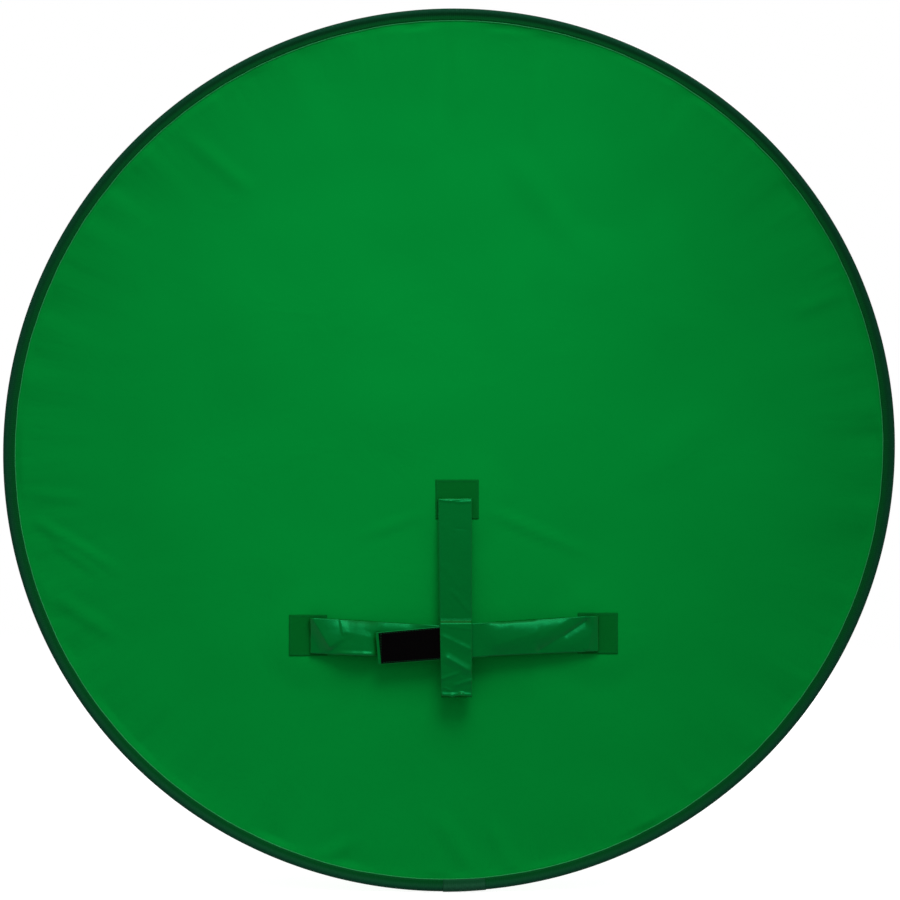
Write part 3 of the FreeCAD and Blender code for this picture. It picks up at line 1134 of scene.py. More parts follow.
@dataclass
class Profile:
    """The line that a strap follows, seen from its edge: distance along the cloth and height off it."""

    points: list[tuple[float, float]] = field(default_factory=list)
    heading: float = 0.0
    lengths: list[float] = field(default_factory=list)
    probe: float = 0.0006
    past_roll: float = 0.009
    least_step: float = 1e-12

    def begin(self, along: float, height: float, heading: float) -> Profile:
        """Start the line.

        Args:
            along: Distance along the cloth.
            height: Height off the cloth.
            heading: Direction in degrees; 0 is along the cloth and 90 is off it.

        Returns:
            The profile itself.
        """
        self.points = [(along, height)]
        self.lengths = [0.0]
        self.heading = heading
        return self

    def go(self, length: float, turn: float = 0.0, step: float = 0.0004) -> Profile:
        """Add a straight, or an even bend.

        Args:
            length: Length of the line.
            turn: Degrees turned over that length; positive turns towards off the cloth.
            step: Spacing of the points.

        Returns:
            The profile itself.
        """
        count = max(2, math.ceil(length / step))
        for _ in range(count):
            self.heading += turn / count / 2
            angle = math.radians(self.heading)
            along, height = self.points[-1]
            share = length / count
            self.points.append((along + share * math.cos(angle), height + share * math.sin(angle)))
            self.lengths.append(self.lengths[-1] + share)
            self.heading += turn / count / 2
        return self

    @property
    def length(self) -> float:
        """The line's whole length."""
        return self.lengths[-1]

    def at(self, distance: float) -> tuple[float, float]:
        """The point at a distance along the line.

        Args:
            distance: The distance, which is kept within the line.

        Returns:
            Its distance along the cloth and its height.
        """
        distance = min(max(distance, 0.0), self.length)
        index = min(max(bisect.bisect_right(self.lengths, distance), 1), len(self.points) - 1)
        low = self.lengths[index - 1]
        share = (distance - low) / max(self.lengths[index] - low, self.least_step)
        first = self.points[index - 1]
        last = self.points[index]
        return first[0] + (last[0] - first[0]) * share, first[1] + (last[1] - first[1]) * share

    def outward(self, distance: float) -> tuple[float, float]:
        """The direction square to the line, which points off the cloth on a strap's plain run.

        Args:
            distance: Distance along the line.

        Returns:
            The direction's share along the cloth and its share off it.
        """
        near = self.at(distance - self.probe)
        far = self.at(distance + self.probe)
        along = far[0] - near[0]
        height = far[1] - near[1]
        size = math.hypot(along, height)
        return -height / size, along / size

    def distance_at(self, along: float, start: float = 0.0) -> float:
        """The distance at which the line first passes a place along the cloth.

        Args:
            along: The place.
            start: Where on the line to start looking.

        Returns:
            The distance along the line.
        """
        for index in range(1, len(self.points)):
            low, high = self.points[index - 1][0], self.points[index][0]
            if self.lengths[index] > start and min(low, high) <= along <= max(low, high):
                share = (along - low) / ((high - low) or 1.0)
                return self.lengths[index - 1] + share * (self.lengths[index] - self.lengths[index - 1])
        return self.length

    def arm_at(self, along: float) -> float:
        """The distance at which the line passes a place along the cloth, once it has left its roll."""
        return self.distance_at(along, self.past_roll)


@dataclass(frozen=True)
class Crease:
    """A fold line in a strap, between two places given as distance along the strap and share across it."""

    start: tuple[float, float]
    end: tuple[float, float]
    height: float
    before: float
    after: float
    fade: float = 0.012
    sharpness: float = 1.35

    def lift(self, along: float, across: float, half_width: float) -> float:
        """How far the crease raises the strap at a place.

        Args:
            along: Distance along the strap.
            across: Place across the strap, from -1 to 1.
            half_width: Half the strap's width there.

        Returns:
            The distance off the strap's plain face.
        """
        start_across = self.start[1] * half_width
        run_along = self.end[0] - self.start[0]
        run_across = self.end[1] * half_width - start_across
        length = math.hypot(run_along, run_across)
        off_along = along - self.start[0]
        off_across = across * half_width - start_across
        share = (off_along * run_along + off_across * run_across) / length
        gap = (off_along * run_across - off_across * run_along) / length
        width = self.before if gap < 0 else self.after
        if abs(gap) >= width:
            return 0.0
        start_fade = smooth_step((share + self.fade) / self.fade)
        end_fade = smooth_step((length + self.fade - share) / self.fade)
        return self.height * start_fade * end_fade * (1.0 - abs(gap) / width) ** self.sharpness

    def laid(self, place: Callable[[float], float]) -> Crease:
        """Lay a crease that is given along the cloth, or from some line, on its strap.

        Args:
            place: Turns such a place into a distance along the strap.

        Returns:
            The crease, with distances along the strap.
        """
        start = (place(self.start[0]), self.start[1])
        end = (place(self.end[0]), self.end[1])
        return replace(self, start=start, end=end)


@dataclass
class Strap:
    """A flat strap of doubled cloth that follows a profile, with its creases, curls and fine crumples."""

    profile: Profile
    origin: Vector
    run: Vector
    across: Vector
    middle: Callable[[float], float]
    half_width: Callable[[float], float]
    creases: tuple[Crease, ...] = ()
    sewn_until: float = 0.003
    sewn_run: float = 0.005
    loose_from: float = 0.015
    loose_run: float = 0.06
    top_curl: float = 0.0
    curl_from: float = 0.45
    lean: float = 0.0
    lean_about: float = 0.35
    lean_until: float = math.inf
    lean_run: float = 0.034
    bulge: float = 0.0
    crumple: float = 0.00025
    crumple_waves: tuple[float, float] = (55.0, 60.0)
    crumple_fading: float = 0.9
    crumple_fineness: float = 2.1
    crumple_layers: int = 3
    seed: float = 1.0
    calm_from: float = math.inf
    calm_run: float = 0.036
    turned_at: float = math.inf
    turned_by: float = math.inf
    end_lean: float = 0.0
    stitch_inset: float = 0.0026

    def lift(self, distance: float, share: float, half: float) -> float:
        """How far the strap's face stands off its plain line.

        Args:
            distance: Distance along the strap.
            share: Place across it, from -1 to 1.
            half: Half its width there.

        Returns:
            The distance towards the strap's outer side.
        """
        lift = sum(crease.lift(distance, share, half) for crease in self.creases)
        loose = smooth_step((distance - self.loose_from) / self.loose_run)
        curl = self.top_curl * max(0.0, (share - self.curl_from) / (1.0 - self.curl_from)) ** 2
        leaning = smooth_step((self.lean_until - distance) / self.lean_run)
        lean = self.lean * half * (share - self.lean_about) * leaning
        lift -= loose * (curl + self.bulge * share * share + lean)
        if distance > self.calm_from:
            lift *= 1.0 - smooth_step((distance - self.calm_from) / self.calm_run)
        along_waves, across_waves = self.crumple_waves
        spot = (distance * along_waves, share * half * across_waves, self.seed)
        crumples = noise.fractal(spot, self.crumple_fading, self.crumple_fineness, self.crumple_layers)
        return (lift + self.crumple * crumples) * self.outer_side(distance)

    def outer_side(self, distance: float) -> float:
        """Which side of its line the strap's outer face is on.

        Args:
            distance: Distance along the strap.

        Returns:
            1 on the line's left, and -1 once the strap has turned over.
        """
        if distance <= self.turned_at:
            return 1.0
        return 1.0 - 2.0 * smooth_step((distance - self.turned_at) / (self.turned_by - self.turned_at))

    def point(self, distance: float, share: float, rise: float = 0.0) -> Vector:
        """A point on or above the middle surface of the strap.

        Args:
            distance: Distance along the strap.
            share: Place across it, from -1 to 1.
            rise: Distance above it, towards the outer side.

        Returns:
            The point.
        """
        along, height = self.profile.at(distance)
        out_along, out_height = self.profile.outward(distance)
        half = self.half_width(along)
        lift = self.lift(distance, share, half) * smooth_step((distance - self.sewn_until) / self.sewn_run)
        lift += rise * self.outer_side(distance)
        along += out_along * lift
        height += out_height * lift
        place = self.origin + self.run * along + self.across * (self.middle(along) + half * share)
        return place + Vector((0.0, -height, 0.0))

    def facing(self, distance: float) -> Vector:
        """The direction that the strap's outer face points in."""
        out_along, out_height = self.profile.outward(distance)
        return (self.run * out_along + Vector((0.0, -out_height, 0.0))) * self.outer_side(distance)

    def sheet(
        self,
        name: str,
        start: float,
        end: float,
        cells: tuple[int, int],
        thickness: float,
        finish: Finish,
        rise: float = 0.0,
        margin: float = 0.0,
    ) -> bpy.types.Object:
        """Build the stretch of strap between two distances, or a tape that lies on it.

        Args:
            name: The piece's name.
            start: Where the stretch starts.
            end: Where it ends.
            cells: Number of cells along and across.
            thickness: The piece's thickness.
            finish: Its finish.
            rise: Distance of its middle surface above the strap's.
            margin: Distance in from the strap's edges.

        Returns:
            The closed piece.
        """
        mesh = unit_grid(*cells)
        length = end - start
        width = 2 * self.half_width(self.profile.at(start)[0])
        reach = 1.0 - 2 * margin / width
        map_weave(mesh, lambda spot: (spot.x * length, spot.y * width))
        for vertex in mesh.verts:
            share = 2.0 * vertex.co.y - 1.0
            run = length + self.end_lean * share
            vertex.co = self.point(start + run * vertex.co.x, share * reach, rise)
        bmesh.ops.recalc_face_normals(mesh, faces=mesh.faces)
        piece = to_object(mesh, name, finish)
        give_thickness(piece, thickness)
        return piece

    def edge_share(self, distance: float, side: float) -> float:
        """The place across the strap of the seam along an edge, -1 or 1."""
        return side * (1.0 - self.stitch_inset / self.half_width(self.profile.at(distance)[0]))

    def seam_spot(self, distance: float, share: float, rise: float) -> tuple[Vector, Vector]:
        """A point of a seam on the strap, and the direction that its thread stands out in."""
        return self.point(distance, share, rise), self.facing(distance)

    def sew_edge(self, row: StitchRow, side: float, start: float, end: float, rise: float) -> None:
        """Add the seam along one edge.

        Args:
            row: The row of stitches.
            side: The edge, -1 or 1.
            start: Where the seam starts.
            end: Where it ends.
            rise: Distance of the cloth's face above the strap's middle surface.
        """
        row.add(
            lambda run: self.seam_spot(start + run, self.edge_share(start + run, side), rise),
            end - start,
        )

    def sew_across(self, row: StitchRow, distance: float, rise: float) -> None:
        """Add a seam across the strap.

        Args:
            row: The row of stitches.
            distance: Where along the strap it runs.
            rise: Distance of the cloth's face above the strap's middle surface.
        """
        half = self.half_width(self.profile.at(distance)[0])
        width = 2 * (half - self.stitch_inset)
        row.add(lambda run: self.seam_spot(distance, (run - width / 2) / half, rise), width)


@dataclass
class StitchRow:
    """A row of lockstitches: short threads that lie half sunk in the cloth."""

    name: str
    pitch: float = 0.0042
    length: float = 0.0031
    girth: float = 0.0007
    finish: ThreadFinish = GREEN_THREAD
    mesh: bmesh.types.BMesh = field(default_factory=bmesh.new)

    def add(self, place: Callable[[float], tuple[Vector, Vector]], length: float) -> None:
        """Sew a line.

        Args:
            place: Gives the point and outward direction at a distance along the line.
            length: The line's length.
        """
        count = max(1, int(length / self.pitch))
        margin = (length - count * self.pitch) / 2 + self.pitch / 2
        for number in range(count):
            distance = margin + number * self.pitch
            spot, outward = place(distance)
            ahead = place(distance + self.length / 2)[0]
            behind = place(distance - self.length / 2)[0]
            along = (ahead - behind).normalized()
            sideways = outward.cross(along).normalized()
            outward = along.cross(sideways)
            made = bmesh.ops.create_icosphere(self.mesh, subdivisions=1, radius=0.5)
            turn = Matrix((along * self.length, sideways * self.girth, outward * self.girth)).transposed()
            for vertex in made["verts"]:
                vertex.co = spot + turn @ vertex.co

    def build(self) -> bpy.types.Object:
        """Turn the sewn lines into a piece.

        Returns:
            The row of stitches.
        """
        bmesh.ops.recalc_face_normals(self.mesh, faces=self.mesh.faces)
        piece = to_object(self.mesh, self.name, self.finish)
        report(piece)
        return piece


# Patches and sewn ends


@dataclass
class Patch:
    """A reinforcing patch of doubled cloth, sewn flat to the front of the screen round its turned-in edge."""

    name: str
    node: str
    centre: tuple[float, float]
    size: tuple[float, float]
    cloth: ScreenCloth
    thickness: float = 0.0008
    hem: float = 0.0045
    hem_rise: float = 0.00022
    hem_slope: float = 0.0012
    edge_slope: float = 0.0008
    ripple: float = 0.00016
    ripple_waves: float = 70.0
    ripple_seed: float = 2.5
    ripple_run: float = 0.012
    clearance: float = 0.0001
    fray: float = 0.0004
    fray_waves: float = 60.0
    fray_seed: float = 9.1
    stitch_inset: float = 0.0028
    cells: int = 44

    def surface(self, x: float, z: float) -> float:
        """The place of the patch's middle surface across the cloth.

        Args:
            x: Place across the screen.
            z: Height on the screen.

        Returns:
            The Y value.
        """
        gap_x = self.size[0] / 2 - abs(x - self.centre[0])
        gap_z = self.size[1] / 2 - abs(z - self.centre[1])
        gap = max(0.0, min(gap_x, gap_z))
        turned = smooth_step((self.hem - gap) / self.hem_slope) * smooth_step(gap / self.edge_slope)
        ripple = self.ripple * noise.noise((x * self.ripple_waves, z * self.ripple_waves, self.ripple_seed))
        ripple *= smooth_step(gap / self.ripple_run)
        lift = self.cloth.lift(x, z) + self.hem_rise * turned + ripple + self.clearance
        return -self.thickness / 2 - lift

    def build(self) -> None:
        """Build the patch."""
        mesh = unit_grid(self.cells, self.cells)
        map_weave(mesh, lambda spot: (spot.x * self.size[0], spot.y * self.size[1]))
        for vertex in mesh.verts:
            x = self.centre[0] + (vertex.co.x - 0.5) * self.size[0]
            z = self.centre[1] + (vertex.co.y - 0.5) * self.size[1]
            fray = self.fray * noise.noise((x * self.fray_waves, z * self.fray_waves, self.fray_seed))
            vertex.co = Vector((x + fray, self.surface(x, z), z - fray))
        piece = to_object(mesh, self.name, PATCH_CLOTH)
        give_thickness(piece, self.thickness)
        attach(piece, "screen")
        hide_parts(self.node)
        report(piece)

    def seam_point(self, distance: float, face: Face) -> tuple[Vector, Vector]:
        """A point of the seam that runs round the patch.

        Args:
            distance: Distance along the seam from its lower left corner.
            face: The face of the screen that the thread shows on.

        Returns:
            The point and the direction off that face.
        """
        width = self.size[0] - 2 * self.stitch_inset
        height = self.size[1] - 2 * self.stitch_inset
        turn = distance % (2 * (width + height))
        if turn < width:
            spot = (turn - width / 2, -height / 2)
        elif turn < width + height:
            spot = (width / 2, turn - width - height / 2)
        elif turn < 2 * width + height:
            spot = (width / 2 - (turn - width - height), height / 2)
        else:
            spot = (-width / 2, height / 2 - (turn - 2 * width - height))
        x = self.centre[0] + spot[0]
        z = self.centre[1] + spot[1]
        if face is Face.FRONT:
            y = self.surface(x, z) - self.thickness / 2
        else:
            y = 2 * self.cloth.middle - self.cloth.lift(x, z)
        return Vector((x, y, z)), Vector((0.0, face.value, 0.0))

    def sew(self, row: StitchRow, face: Face) -> None:
        """Add the patch's seam to a row of stitches on one face."""
        seam = 2 * (self.size[0] + self.size[1]) - 8 * self.stitch_inset
        row.add(lambda distance: self.seam_point(distance, face), seam)


# The three straps


def heading_about(centre: tuple[float, float], spot: tuple[float, float]) -> float:
    """The heading in degrees of a line that bends clockwise about a centre, where it passes a spot."""
    return math.degrees(math.atan2(spot[1] - centre[1], spot[0] - centre[0])) - 90.0


@dataclass
class SewnEnd:
    """The sizes that the three straps share where they are sewn to their patches."""

    hinge_along: float = 0.003
    hinge_height: float = 0.0041
    roll: float = 0.0025
    hem_start: float = 0.0041
    hem_length: float = 0.0122
    hem_height: float = 0.0013
    hem_inset: float = 0.001
    hem_cells: tuple[int, int] = (16, 40)
    hem_ripple: float = 0.0001
    hem_waves: tuple[float, float] = (200.0, 150.0)
    strap: float = 0.001
    roll_step: float = 0.0002
    arm_step: float = 0.001
    fold_bend: float = 0.004
    seam_start: float = 0.012
    back_inset: float = 0.003
    back_seams: tuple[float, ...] = (0.0045, 0.0125)
    back_height: float = 0.0008

    def start_arm(self, fold: tuple[float, float], bow: float) -> Profile:
        """Roll a strap out of its seam, bow it to its fold beside the loop and bend it straight there.

        Args:
            fold: The fold's distance along the cloth and its height.
            bow: Radius of the arm's bow.

        Returns:
            The arm's profile, from the bottom of the roll to the end of the fold.
        """
        run = fold[0] - self.hinge_along
        rise = fold[1] - self.hinge_height
        span = math.hypot(run, rise)
        inner = bow - self.roll
        along = (inner * inner - bow * bow + span * span) / (2 * span)
        across = math.sqrt(inner * inner - along * along)
        centre = (
            self.hinge_along + (run * along + rise * across) / span,
            self.hinge_height + (rise * along - run * across) / span,
        )
        touch = heading_about(centre, (self.hinge_along, self.hinge_height))
        finish = heading_about(centre, fold)
        profile = Profile().begin(self.hinge_along, self.hinge_height - self.roll, 180.0)
        profile.go(self.roll * math.radians(180.0 - touch), touch - 180.0, self.roll_step)
        profile.go(bow * math.radians(touch - finish), finish - touch, self.arm_step)
        profile.go(self.fold_bend, -profile.heading)
        return profile

    def build_hem(self, name: str, node: str, strap: Strap, rests_on: str) -> None:
        """Build the end of a strap that is sewn flat under its roll.

        Args:
            name: The piece's name.
            node: The CAD node that it stands for.
            strap: The strap that it belongs to.
            rests_on: The patch under it. Not used.
        """
        mesh = unit_grid(*self.hem_cells)
        width = 2 * strap.half_width(self.hinge_along) - 2 * self.hem_inset
        map_weave(mesh, lambda spot: (spot.x * self.hem_length, spot.y * width))
        for vertex in mesh.verts:
            along = self.hem_start + vertex.co.x * self.hem_length
            sideways = strap.middle(along) + (vertex.co.y - 0.5) * width
            spot = (along * self.hem_waves[0], sideways * self.hem_waves[1], strap.seed)
            ripple = self.hem_ripple * noise.noise(spot)
            place = strap.origin + strap.run * along + strap.across * sideways
            vertex.co = place + Vector((0.0, -self.hem_height - ripple, 0.0))
        bmesh.ops.recalc_face_normals(mesh, faces=mesh.faces)
        piece = to_object(mesh, name, STRAP_CLOTH)
        give_thickness(piece, self.strap)
        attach(piece, "screen")
        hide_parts(node)
        report(piece)

    def sew_back(self, row: StitchRow, strap: Strap) -> None:
        """Add the seams that show on the screen's back where a strap is sewn on.

        Args:
            row: The row of stitches.
            strap: The strap.
        """
        width = 2 * (strap.half_width(0.0) - self.back_inset)
        outward = Vector((0.0, 1.0, 0.0))
        for along in self.back_seams:
            start = strap.origin + strap.run * along + strap.across * (strap.middle(0.0) - width / 2)
            start.y = self.back_height
            row.add(lambda distance, start=start: (start + strap.across * distance, outward), width)


# In each pair of numbers the first is a place along the strap and the second the share across it. The place
# is the distance along the strap for the roll, the distance past the loop's bottom for the creases there, and
# the distance along the screen for the others.
ROLL_CREASES = (
    Crease((0.0074, -0.95), (0.0098, -0.30), 0.0011, 0.0022, 0.0040, 0.003),
    Crease((0.0096, -0.35), (0.0082, 0.25), 0.0010, 0.0022, 0.0040, 0.003),
    Crease((0.0116, 0.05), (0.0102, 0.95), 0.0011, 0.0022, 0.0040, 0.003),
)
ARM_CREASES = (
    Crease((0.049, 0.1), (0.050, 0.6), -0.0004, 0.004, 0.003, 0.006),
    Crease((0.152, -0.1), (0.178, 0.75), 0.0007, 0.008, 0.006),
    Crease((0.110, -0.8), (0.140, 0.2), 0.0005, 0.014, 0.010),
)
LOOP_CREASES = (
    Crease((0.2210, -0.70), (0.2390, 0.80), 0.0020, 0.014, 0.007),
    Crease((0.2550, -0.50), (0.2720, 0.70), 0.0036, 0.012, 0.010),
    Crease((0.2870, -0.9), (0.2790, 0.0), 0.0014, 0.006, 0.005),
    Crease((0.2960, 0.1), (0.2890, 1.0), 0.0015, 0.006, 0.005),
    Crease((0.3020, -0.75), (0.3050, -0.45), 0.0010, 0.003, 0.003, 0.004),
    Crease((0.2050, -0.3), (0.2085, 0.9), 0.0006, 0.004, 0.006),
)
BOTTOM_CREASES = (
    Crease((0.0010, -0.95), (-0.0008, -0.25), 0.0024, 0.004, 0.0055, 0.004),
    Crease((-0.0006, -0.35), (0.0012, 0.35), 0.0022, 0.004, 0.0055, 0.004),
    Crease((0.0014, 0.25), (-0.0008, 0.98), 0.0025, 0.004, 0.0055, 0.004),
)
LEFT_CREASES = (
    Crease((0.006, 0.95), (0.032, -0.50), 0.0076, 0.032, 0.020, 0.010),
    Crease((0.048, 0.95), (0.053, 0.25), 0.0012, 0.012, 0.004, 0.006),
    Crease((0.054, -0.90), (0.098, -0.88), 0.0024, 0.0052, 0.0035),
    Crease((0.109, 0.20), (0.114, -0.95), -0.0030, 0.008, 0.014, 0.008),
    Crease((0.060, 0.28), (0.095, 0.10), 0.0009, 0.010, 0.014),
    Crease((0.030, -0.55), (0.062, -0.15), -0.0009, 0.012, 0.010),
)
RIGHT_CREASES = (
    Crease((0.0214, 0.67), (0.0918, -0.75), -0.0048, 0.019, 0.022),
    Crease((0.0200, 0.72), (0.0500, 0.05), -0.0016, 0.006, 0.008, 0.008),
    Crease((0.0080, 0.95), (0.0180, -0.80), 0.0030, 0.010, 0.014, 0.006),
    Crease((0.104, 1.0), (0.176, 0.98), -0.0022, 0.004, 0.004),
    Crease((0.100, 0.25), (0.160, -0.30), 0.0014, 0.018, 0.016),
    Crease((0.070, -0.93), (0.185, -0.90), 0.0007, 0.003, 0.003),
)


@dataclass
class TopStrap:
    """The upright strap and the loop that its end is folded and sewn into, as one length of cloth."""

    ends: SewnEnd
    right_half: float = 0.0245
    left_top: float = 0.0295
    left_fold: float = 0.0267
    left_bottom: float = 0.0242
    fold_along: float = 0.192
    fold_height: float = 0.018
    bow: float = 2.5
    bottom_along: float = 0.31724
    turn_radius: float = 0.0054
    lap_start: float = 0.19225
    shoulder_angle: float = 70.0
    lap_bend: float = 0.002
    front_bend: float = 0.0035
    lap_straight: float = 0.0015
    shoulder_straight: float = 0.00658
    cells: tuple[int, int] = (480, 30)
    bottom_creases: float = 0.0018
    arm_seam_end: float = 0.1885
    lap_seam_inset: float = 0.0011

    def __post_init__(self) -> None:
        """Work out the strap's line and its creases."""
        profile = self.ends.start_arm((self.fold_along, self.fold_height), self.bow)
        wall_end = self.bottom_along - self.ends.strap / 2 - self.turn_radius
        profile.go(wall_end - profile.points[-1][0])
        self.turn_start = profile.length
        profile.go(math.pi * self.turn_radius, 180.0)
        self.turn_end = profile.length
        angle = math.radians(self.shoulder_angle)
        bend_run = (self.front_bend + self.lap_bend) * math.sin(angle)
        top = self.lap_start + self.lap_straight + bend_run + self.shoulder_straight * math.cos(angle)
        profile.go(profile.points[-1][0] - top)
        self.front_top = profile.length
        profile.go(self.front_bend * angle, self.shoulder_angle)
        profile.go(self.shoulder_straight)
        profile.go(self.lap_bend * angle, -self.shoulder_angle)
        profile.go(self.lap_straight)
        self.strap = Strap(
            profile=profile,
            origin=Vector((0.0, 0.0, 0.0)),
            run=Vector((0.0, 0.0, -1.0)),
            across=Vector((1.0, 0.0, 0.0)),
            middle=lambda along: (self.right_half - self.left_half(along)) / 2,
            half_width=lambda along: (self.right_half + self.left_half(along)) / 2,
            creases=self.creases(profile),
            turned_at=self.turn_start,
            turned_by=self.turn_end,
            crumple=0.00016,
            seed=3.0,
        )

    def left_half(self, along: float) -> float:
        """Distance of the strap's left edge from the middle plane.

        Args:
            along: Distance along the cloth.

        Returns:
            The distance.
        """
        if along < self.fold_along:
            return self.left_top + (self.left_fold - self.left_top) * max(along, 0.0) / self.fold_along
        share = (along - self.fold_along) / (self.bottom_along - self.fold_along)
        return self.left_fold + (self.left_bottom - self.left_fold) * min(share, 1.0)

    def creases(self, profile: Profile) -> tuple[Crease, ...]:
        """Lay the fold lines of the roll, the arm, the loop's front and its bottom.

        Args:
            profile: The strap's line.

        Returns:
            The creases.
        """
        on_loop = partial(profile.distance_at, start=self.turn_end)
        bottom = self.turn_end - self.bottom_creases
        return (
            *ROLL_CREASES,
            *(crease.laid(profile.arm_at) for crease in ARM_CREASES),
            *(crease.laid(on_loop) for crease in LOOP_CREASES),
            *(crease.laid(lambda gap: bottom + gap) for crease in BOTTOM_CREASES),
        )

    def build(self) -> None:
        """Build the strap."""
        length = self.strap.profile.length
        piece = self.strap.sheet("top_strap_cloth", 0.0, length, self.cells, self.ends.strap, STRAP_CLOTH)
        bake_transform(piece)
        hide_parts("top_strap_arm", "strap_loop")
        report(piece)

    def sew(self, arm_row: StitchRow, loop_row: StitchRow) -> None:
        """Add the edge seams and the lap's seam.

        Args:
            arm_row: The row that rides on the strap's upper run.
            loop_row: The row that rides on the loop.
        """
        half = self.ends.strap / 2
        arm_end = self.strap.profile.arm_at(self.arm_seam_end)
        for side in (-1.0, 1.0):
            self.strap.sew_edge(arm_row, side, self.ends.seam_start, arm_end, half)
            self.strap.sew_edge(loop_row, side, self.turn_end, self.front_top, half)
        lap = self.strap.profile.length - self.lap_seam_inset
        self.strap.sew_across(loop_row, lap, half)


@dataclass
class SideStrap:
    """A side strap, from its sewn end to its free end."""

    side: Side
    ends: SewnEnd
    seam: tuple[float, float]
    layer_height: float
    bow: float
    end_along: float
    creases: tuple[Crease, ...]
    fold_along: float = 0.192
    half_start: float = 0.0285
    taper: float = 0.008
    slope: float = 2.8
    end_slope: float = 4.8
    top_curl: float = 0.0024
    lean: float = 0.0
    lean_until: float = 0.119
    bulge: float = 0.0
    calm_run: float = 0.036
    seed: float = 11.0
    spare: float = 0.004

    def __post_init__(self) -> None:
        """Work out the strap's line."""
        profile = self.ends.start_arm((self.fold_along, self.layer_height), self.bow)
        profile.go(self.end_along + self.spare - profile.points[-1][0])
        self.end = profile.arm_at(self.end_along)
        self.strap = Strap(
            profile=profile,
            origin=Vector((self.seam[0], 0.0, self.seam[1])),
            run=Vector((-self.side.value, 0.0, 0.0)),
            across=Vector((0.0, 0.0, 1.0)),
            middle=lambda along: -self.drop(along),
            half_width=self.half_width,
            creases=tuple(crease.laid(profile.arm_at) for crease in self.creases),
            top_curl=self.top_curl,
            lean=self.lean,
            lean_until=profile.arm_at(self.lean_until),
            bulge=self.bulge,
            calm_from=profile.arm_at(self.fold_along - self.calm_run),
            calm_run=self.calm_run,
            seed=self.seed + self.side.value,
            crumple=0.0002,
        )

    def drop(self, along: float) -> float:
        """How far the strap has come down at a distance from its seam.

        Args:
            along: The distance.

        Returns:
            The drop, which is steeper beyond the fold beside the loop.
        """
        reach = max(along - self.ends.hinge_along, 0.0)
        arm = self.fold_along - self.ends.hinge_along
        arm_drop = min(reach, arm) * math.tan(math.radians(self.slope))
        return arm_drop + max(reach - arm, 0.0) * math.tan(math.radians(self.end_slope))

    def half_width(self, along: float) -> float:
        """Half the strap's width at a distance from its seam."""
        return self.half_start - self.taper * max(along - self.ends.hinge_along, 0.0)

    def distance(self, x: float) -> float:
        """The distance along the strap at a place across the screen."""
        return self.strap.profile.arm_at(abs(x - self.seam[0]))

    def sew(self, row: StitchRow, start: float, end: float) -> None:
        """Add the seams along both edges of a stretch of the strap."""
        for side in (-1.0, 1.0):
            self.strap.sew_edge(row, side, start, end, self.ends.strap / 2)


